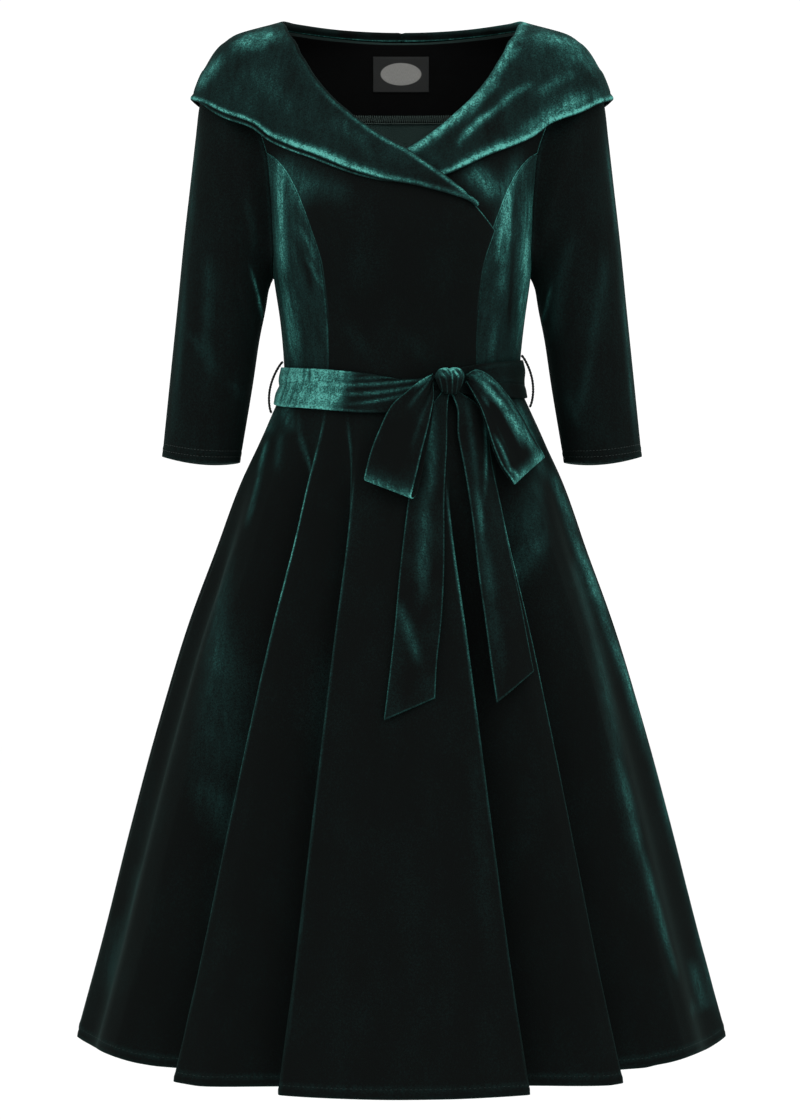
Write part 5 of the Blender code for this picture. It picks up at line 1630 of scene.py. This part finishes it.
def add_band():
    grid, turn = belt_band(BAND_GRID[0], crowd(BAND_GRID[1]))
    front = (np.cos(turn) > 0) * 1.0
    grid, nap = creased(grid, BELT_MARKS, front, ring=True)
    down = run_down(grid)
    share = down / down[-1:]
    sag = np.sin(share * 9.5 + 2.2 * np.sin(turn * 2.1)) * ridges(share, BAND_SAG)
    grid = raised(grid, sag * settings().crease, ring=True)
    x = grid[..., 0]
    # Painted sheen: a bright patch on the left in front, lines along both edges, and a level over front
    # and back
    lit = front * ease(*BAND_LIT["left"], x)
    patch_edge = x + BAND_LIT["slant"] * (share - BAND_LIT["slant_middle"])
    nap = nap + BAND_LIT["patch"] * front * ease(*BAND_LIT["patch_from"], patch_edge)
    nap = nap + lit * (ridges(down[-1:] - down, BAND_LIT["below"]) + ridges(down, BAND_LIT["above"]))
    nap = nap + np.where(front > 0, BAND_LIT["front"], BAND_LIT["back"])
    piece = turned_out("belt_round_waist", grid, nap, ring=True)
    stand_for("belt_band")


# The knot: rows and points around, how near its poles they start, how full it is, where its lobes
# end, how far it narrows and shortens downwards and over which heights, and its pleats' depth
KNOT_FORM = {"grid": (90, 150), "poles": 0.03, "full": 0.55, "high": (-0.20, 0.45), "lift": 0.70,
             "deep": 0.46, "lobes": 0.20, "narrow": (0.26, 0.3, -0.9), "short": (0.40, 0.1, -1.0),
             "tilt": 0.05, "pleats": 0.035, "turn": 10}
KNOT_LOBES = ((1.0, 0.34, 0.30), (0.85, -0.42, 0.28))       # ridges across it, as the notch is
KNOT_NOTCH = (0.0022, -0.03, 0.11)
KNOT_PLEATS = ((13, 7.5, 0.4), (15, 0.9, 0.6))  # steps across, how far they lean, and where they start
# Painted sheen on the knot: over its upper part and its lobes, at its top, between the lobes, and on the
# pleats below
KNOT_LIGHT = {"high": 0.22, "lobes": 0.56, "top": 0.55, "between": (0.55, -0.02, 0.05),
              "leans": 0.10, "pleats": 0.16}


def add_knot():
    """Two lobes side by side over a body that narrows downwards: an oval form with a notch in its
    top, slanting pleats on the lobes and upright ones below, as sines."""
    at = front_point(np.array(KNOT["x"]), np.array(KNOT["drop"]), np.array(0.0))
    lift = BELT_EASE + TURNED + CLEAR + KNOT["depth"] * KNOT_FORM["lift"]
    rows, count = KNOT_FORM["grid"]
    up = np.linspace(KNOT_FORM["poles"], math.pi - KNOT_FORM["poles"], rows)[:, None]
    around = np.arange(count)[None, :] / count * 2 * math.pi
    tall, girth = np.cos(up), np.sin(up) ** KNOT_FORM["full"]
    across = girth * np.sin(around)
    high = ease(*KNOT_FORM["high"], tall)
    lobes = ridges(across, *KNOT_LOBES)
    slant, upright = (np.sin(across * steps + tall * lean + start)
                      for steps, lean, start in KNOT_PLEATS)
    pleat = KNOT_FORM["pleats"] * (slant * high + upright * (1 - high)) * girth
    narrow, *narrows = KNOT_FORM["narrow"]
    short, *shortens = KNOT_FORM["short"]
    x = KNOT["width"] * 0.50 * across * (1 - narrow * ease(*narrows, tall))
    y = -KNOT["depth"] * KNOT_FORM["deep"] * girth * np.cos(around)
    y = y * (1 + KNOT_FORM["lobes"] * lobes * high + pleat)
    z = KNOT["height"] * 0.50 * (tall * (1 + KNOT_FORM["tilt"] * across) - short * ease(*shortens, tall))
    z = z - ridges(across, KNOT_NOTCH) * ease(0.2, 0.9, tall)
    turn = math.radians(KNOT_FORM["turn"])
    rings = points(at[0] + x * math.cos(turn) - y * math.sin(turn),
                   at[1] - lift + x * math.sin(turn) + y * math.cos(turn), at[2] + z)
    # Painted sheen and highlights on the knot
    light = KNOT_LIGHT
    nap = high * (light["high"] + light["lobes"] * ease(-0.2, 0.9, slant) * lobes)
    nap = nap + light["top"] * ease(0.66, 0.96, tall)
    between = ridges(across - light["leans"] * (1 - tall), light["between"])
    nap = nap + between * ease(-0.7, 0.2, tall)
    nap = nap + (1 - high) * light["pleats"] * ease(0.5, 1.0, upright)
    piece = round_form("belt_knot_velvet", rings, finish_named("belt velvet pile"), nap)
    stand_for("belt_knot")


def strip_points(sections, station, fractions, off=None):
    """A strip's points: along it by section, across it from edge a to edge b."""
    value = between_rows(sections, station)
    x = value["edge_a"] + (value["edge_b"] - value["edge_a"]) * fractions
    drop = value["drop_a"] + (value["drop_b"] - value["drop_a"]) * fractions
    return front_point(x, drop, value["off"] if off is None else off)


FOLD_ROWS = 17          # rows of a loop's half circle


def bow_grid(sections, shift, along, across):
    """Out from the knot in front, round the fold at the far end in a half circle, and back beneath."""
    last = len(sections["off"]) - 1
    fractions = crowd(across)[None, :]
    station = np.linspace(0, last, along)[:, None]
    grown = ease(0, last, station)
    front = strip_points(sections, station, fractions)
    back = strip_points(sections, station, fractions, BOW_BACK_OFF + 0 * grown)
    back[..., 0] += shift[0] * grown
    back[..., 2] -= shift[1] * grown
    beyond = unit(front[-1] - front[-3])
    middle = (front[-1] + back[-1]) / 2
    swing = np.linalg.norm(front[-1] - back[-1], axis=-1, keepdims=True) / 2
    angle = np.linspace(0, math.pi, FOLD_ROWS)[1:-1, None, None]
    turned = middle + (front[-1] - middle) * np.cos(angle) + beyond * swing * np.sin(angle)
    return np.concatenate([front, turned, back[::-1]])


# A loop: rows from the knot to its fold, its columns, the shares of that way where its pleats
# fade, its rim, and the light on its fold by rows
LOOP = {"rows": 90, "columns": 60, "gathers": (0.1, 0.95), "rim": (0.42, 0.0007, 0.0008)}
LOOP_END = (0.55, LOOP["rows"] + 4, 7.0)
# Height and steps across of its pleats, and how far a streak fades in and out at its ends
LOOP_PLEATS = ((0.0011, 15), (0.0006, 27))
STREAK = {"in": 0.1, "out": 0.12}


def add_bow():
    for name, sections, light in (("left", BOW_LEFT, BOW_LEFT_LIGHT),
                                  ("right", BOW_RIGHT, BOW_RIGHT_LIGHT)):
        grid = bow_grid(sections, BOW_BACK_SHIFT[name], LOOP["rows"], LOOP["columns"])
        across = run_across(grid)
        share = across / across[:, -1:]
        row = np.arange(grid.shape[0])[:, None]
        reach = np.clip(row / LOOP["rows"], 0, 1)
        gather = 1 - ease(*LOOP["gathers"], reach)
        (wide, few), (fine, many) = LOOP_PLEATS
        pleats = wide * np.sin(share * few + 0.8) * gather
        pleats = pleats + fine * np.sin(share * many) * gather ** 2
        grid = raised(grid, pleats * settings().crease)
        grid, nap = creased(grid, BOW_MARKS, (row < LOOP["rows"] + 6) * 1.0)
        # Painted highlight streaks along the loop, then painted highlights on its rim and its fold
        for at, toward, width, start, end, bright in zip(*light.values()):
            lit = ease(start - STREAK["in"], start + STREAK["in"], reach)
            lit = lit * (1 - ease(end - STREAK["in"], end + STREAK["out"], reach))
            nap += bright * bell(share - at - (toward - at) * reach, width) * lit
        nap = np.maximum(nap, 0) + ridges(from_rim(across, axis=1), LOOP["rim"])
        nap = nap + ridges(row, LOOP_END)
        piece = turned_out("bow_" + name, grid, nap)
        stand_for("bow_loop_" + name)


def tail_grid(sections, along, across, fold):
    """A tail that hangs down the front of the skirt, with a lengthwise fold as a squared sine."""
    last = len(sections["off"]) - 1
    fractions = crowd(across)[None, :]
    station = last * (0.6 * np.linspace(0, 1, along) + 0.4 * crowd(along))[:, None]
    off = smooth(np.arange(last + 1), sections["off"], station) + 0 * fractions
    off = off + fold * ease(0.3, 2.0, station) * np.sin(fractions * math.pi) ** 2
    return strip_points(sections, station, fractions, off)


TAIL_GRID = (190, 44)       # rows and columns
# Painted highlight along a tail's rim, and painted sheen all over it
TAIL_RIM, TAIL_GROUND = (0.30, 0.0006, 0.0007), 0.02
TAIL_WAVE = {"height": 0.0005, "turns": 55, "grows": (0.05, 0.12)}


def add_tails():
    for name, sections in (("left", TAIL_LEFT), ("right", TAIL_RIGHT)):
        grid = tail_grid(sections, *TAIL_GRID, TAIL_FOLD[name])
        grid, nap = creased(grid, TAIL_MARKS)
        down = run_down(grid)
        rim = np.minimum(from_rim(down), from_rim(run_across(grid), axis=1))
        wave = np.sin(down * TAIL_WAVE["turns"] + 1.0) * ease(*TAIL_WAVE["grows"], down)
        grid = raised(grid, TAIL_WAVE["height"] * wave * settings().crease)
        piece = turned_out("tail_" + name, grid, nap + TAIL_GROUND + ridges(rim, TAIL_RIM))
        stand_for("belt_tail_" + name)


PLIES = {"grid": (120, 14), "depth": 0.14, "turns": 60}


def add_carriers():
    """Thread loops: two plies twisted round each other, from above the belt to below it."""
    rows, around = PLIES["grid"]
    share = np.linspace(0, 1, rows)
    angle = np.arange(around)[None, :] / around * 2 * math.pi
    twist = 1 + PLIES["depth"] * np.cos(2 * (angle - share[:, None] * PLIES["turns"]))
    for side in ("left", "right"):
        path = carrier_path(side, share)
        rings = tube_rings(path, unit(path * [1, 0, 0]), CARRIER["radius"], around)
        rings = path[:, None] + (rings - path[:, None]) * twist[..., None]
        piece = round_form("carrier_" + side, rings, finish_named("carrier thread"))
        stand_for("belt_carrier_" + side)


# ---- studio ----

FLOOR = {"reach": 9.0, "points": 19}
SENSOR = 24     # height of the camera's sensor in millimetres

# Each lamp's place, its diameter and its share of the key light's power, and where all look
LAMPS = {
    "key": ((1.6, -1.9, 1.1), 1.6, 1.0),
    "fill": ((-2.0, -1.6, 0.4), 1.8, 0.5),
    "top": ((0.2, 0.6, 1.6), 1.2, 0.6),
}
LAMPS_AIM = (0, 0, -0.45)


def add_floor():
    """A wide pale sheet of paper below the dress."""
    chosen = settings()
    along = np.linspace(-FLOOR["reach"], FLOOR["reach"], FLOOR["points"])
    grid = points(along[None, :], along[:, None], -chosen.floor_drop)
    number = np.arange(along.size ** 2).reshape(along.size, along.size)
    mesh = bpy.data.meshes.new("studio_floor")
    mesh.from_pydata(grid.reshape(-1, 3).tolist(), [], quads(number.T).tolist())
    f = Finish("studio paper")
    tooth = f.noise(f.place(), 90, 2)
    paper = f.mix(tooth, (*(0.99 * c for c in chosen.paper), 1), (*chosen.paper, 1))
    mesh.materials.append(f.done(paper, 0.9, tooth, 0.02, Specular_IOR_Level=0.1))
    mesh.shade_smooth()
    in_scene("studio_floor", mesh)


def add_lights():
    """Light all round, and soft round lamps that look at the dress."""
    world = bpy.data.worlds.new("daylight")
    world.use_nodes = True
    sky = world.node_tree.nodes["Background"]
    sky.inputs["Color"].default_value = (1, 1, 1, 1)
    sky.inputs["Strength"].default_value = settings().daylight
    bpy.context.scene.world = world
    for name, (place, size, power) in LAMPS.items():
        lamp = bpy.data.lights.new(name, "AREA")
        lamp.shape, lamp.size, lamp.energy = "DISK", size, settings().key * power
        stand = in_scene(name, lamp)
        toward = np.array(LAMPS_AIM) - np.array(place)
        flat = math.hypot(toward[0], toward[1])
        stand.location = place
        stand.rotation_euler = (math.atan2(flat, -toward[2]), 0, math.atan2(-toward[0], toward[1]))


def add_camera():
    """The camera looks level at the dress from in front."""
    lens = bpy.data.cameras.new("camera")
    lens.sensor_fit, lens.sensor_height = "VERTICAL", SENSOR
    lens.lens = SENSOR * settings().distance / VIEW_HEIGHT
    camera = in_scene("camera", lens)
    camera.location = (VIEW_MIDDLE[0], -settings().distance, VIEW_MIDDLE[1])
    camera.rotation_euler = (HALF, 0, 0)
    bpy.context.scene.camera = camera
    bpy.context.scene.view_settings.view_transform = "Standard"


def add_studio():
    """A wide pale floor, light all round, three soft lamps and the camera."""
    add_floor()
    add_lights()
    add_camera()


FINISHES = {
    "green velvet pile": lambda: velvet("green velvet pile", 0.0, 0.04),
    "collar velvet pile": lambda: velvet("collar velvet pile", 0.02, 0.16),
    "belt velvet pile": lambda: velvet("belt velvet pile", 0.0, 0.10),
    "knitted reverse": knit_back,
    "black twill": facing_cloth,
    "label satin": label_cloth,
    "sewing thread": lambda: thread("sewing thread", settings().thread_colour),
    "hem thread": lambda: thread("hem thread", (0.012, 0.020, 0.018)),
    "overlock thread": lambda: thread("overlock thread", settings().overlock_colour),
    "carrier thread": lambda: thread("carrier thread", (0.006, 0.009, 0.008)),
}


# ---- operators and panel ----

class DRESS_OT_bodice(bpy.types.Operator):
    """Make the wrapped fronts, the side fronts and the back"""
    bl_idname = "dress.bodice"
    bl_label = "Bodice"

    def execute(self, context):
        add_bodice()
        return {"FINISHED"}


class DRESS_OT_sleeves(bpy.types.Operator):
    """Make both sleeves with their stitched hems"""
    bl_idname = "dress.sleeves"
    bl_label = "Sleeves"

    def execute(self, context):
        add_sleeves()
        return {"FINISHED"}


class DRESS_OT_collar(bpy.types.Operator):
    """Make both halves of the fold-over collar"""
    bl_idname = "dress.collar"
    bl_label = "Collar"

    def execute(self, context):
        add_collar()
        return {"FINISHED"}


class DRESS_OT_neck_back(bpy.types.Operator):
    """Make the back neck facing, its overlock and the label"""
    bl_idname = "dress.neck_back"
    bl_label = "Back neck"

    def execute(self, context):
        add_neck_back()
        return {"FINISHED"}


class DRESS_OT_skirt(bpy.types.Operator):
    """Make the skirt's front and back with their folds and hems"""
    bl_idname = "dress.skirt"
    bl_label = "Skirt"

    def execute(self, context):
        add_skirt()
        return {"FINISHED"}


class DRESS_OT_belt(bpy.types.Operator):
    """Make the belt, its knot, bow, tails and carriers"""
    bl_idname = "dress.belt"
    bl_label = "Belt"

    def execute(self, context):
        add_band()
        add_knot()
        add_bow()
        add_tails()
        add_carriers()
        return {"FINISHED"}


class DRESS_OT_studio(bpy.types.Operator):
    """Make the floor, the lights and the camera"""
    bl_idname = "dress.studio"
    bl_label = "Studio"

    def execute(self, context):
        add_studio()
        return {"FINISHED"}


OPERATORS = (DRESS_OT_bodice, DRESS_OT_sleeves, DRESS_OT_collar, DRESS_OT_neck_back, DRESS_OT_skirt,
             DRESS_OT_belt, DRESS_OT_studio)


class DRESS_PT_panel(bpy.types.Panel):
    """Lists the dress's settings and the steps that make it"""
    bl_idname = "DRESS_PT_panel"
    bl_label = "Swing dress"
    bl_space_type = "VIEW_3D"
    bl_region_type = "UI"
    bl_category = "Dress"

    def draw(self, context):
        for name in DressSettings.__annotations__:
            self.layout.prop(context.scene.dress, name)
        for operator in OPERATORS:
            self.layout.operator(operator.bl_idname)


CLASSES = (DressSettings, *OPERATORS, DRESS_PT_panel)


def register():
    for made in CLASSES:
        bpy.utils.register_class(made)
    bpy.types.Scene.dress = bpy.props.PointerProperty(type=DressSettings)


def unregister():
    del bpy.types.Scene.dress
    for made in reversed(CLASSES):
        bpy.utils.unregister_class(made)


def main():
    register()
    bpy.ops.dress.bodice()
    bpy.ops.dress.sleeves()
    bpy.ops.dress.collar()
    bpy.ops.dress.neck_back()
    bpy.ops.dress.skirt()
    bpy.ops.dress.belt()
    bpy.ops.dress.studio()


if __name__ == "__main__":
    main()
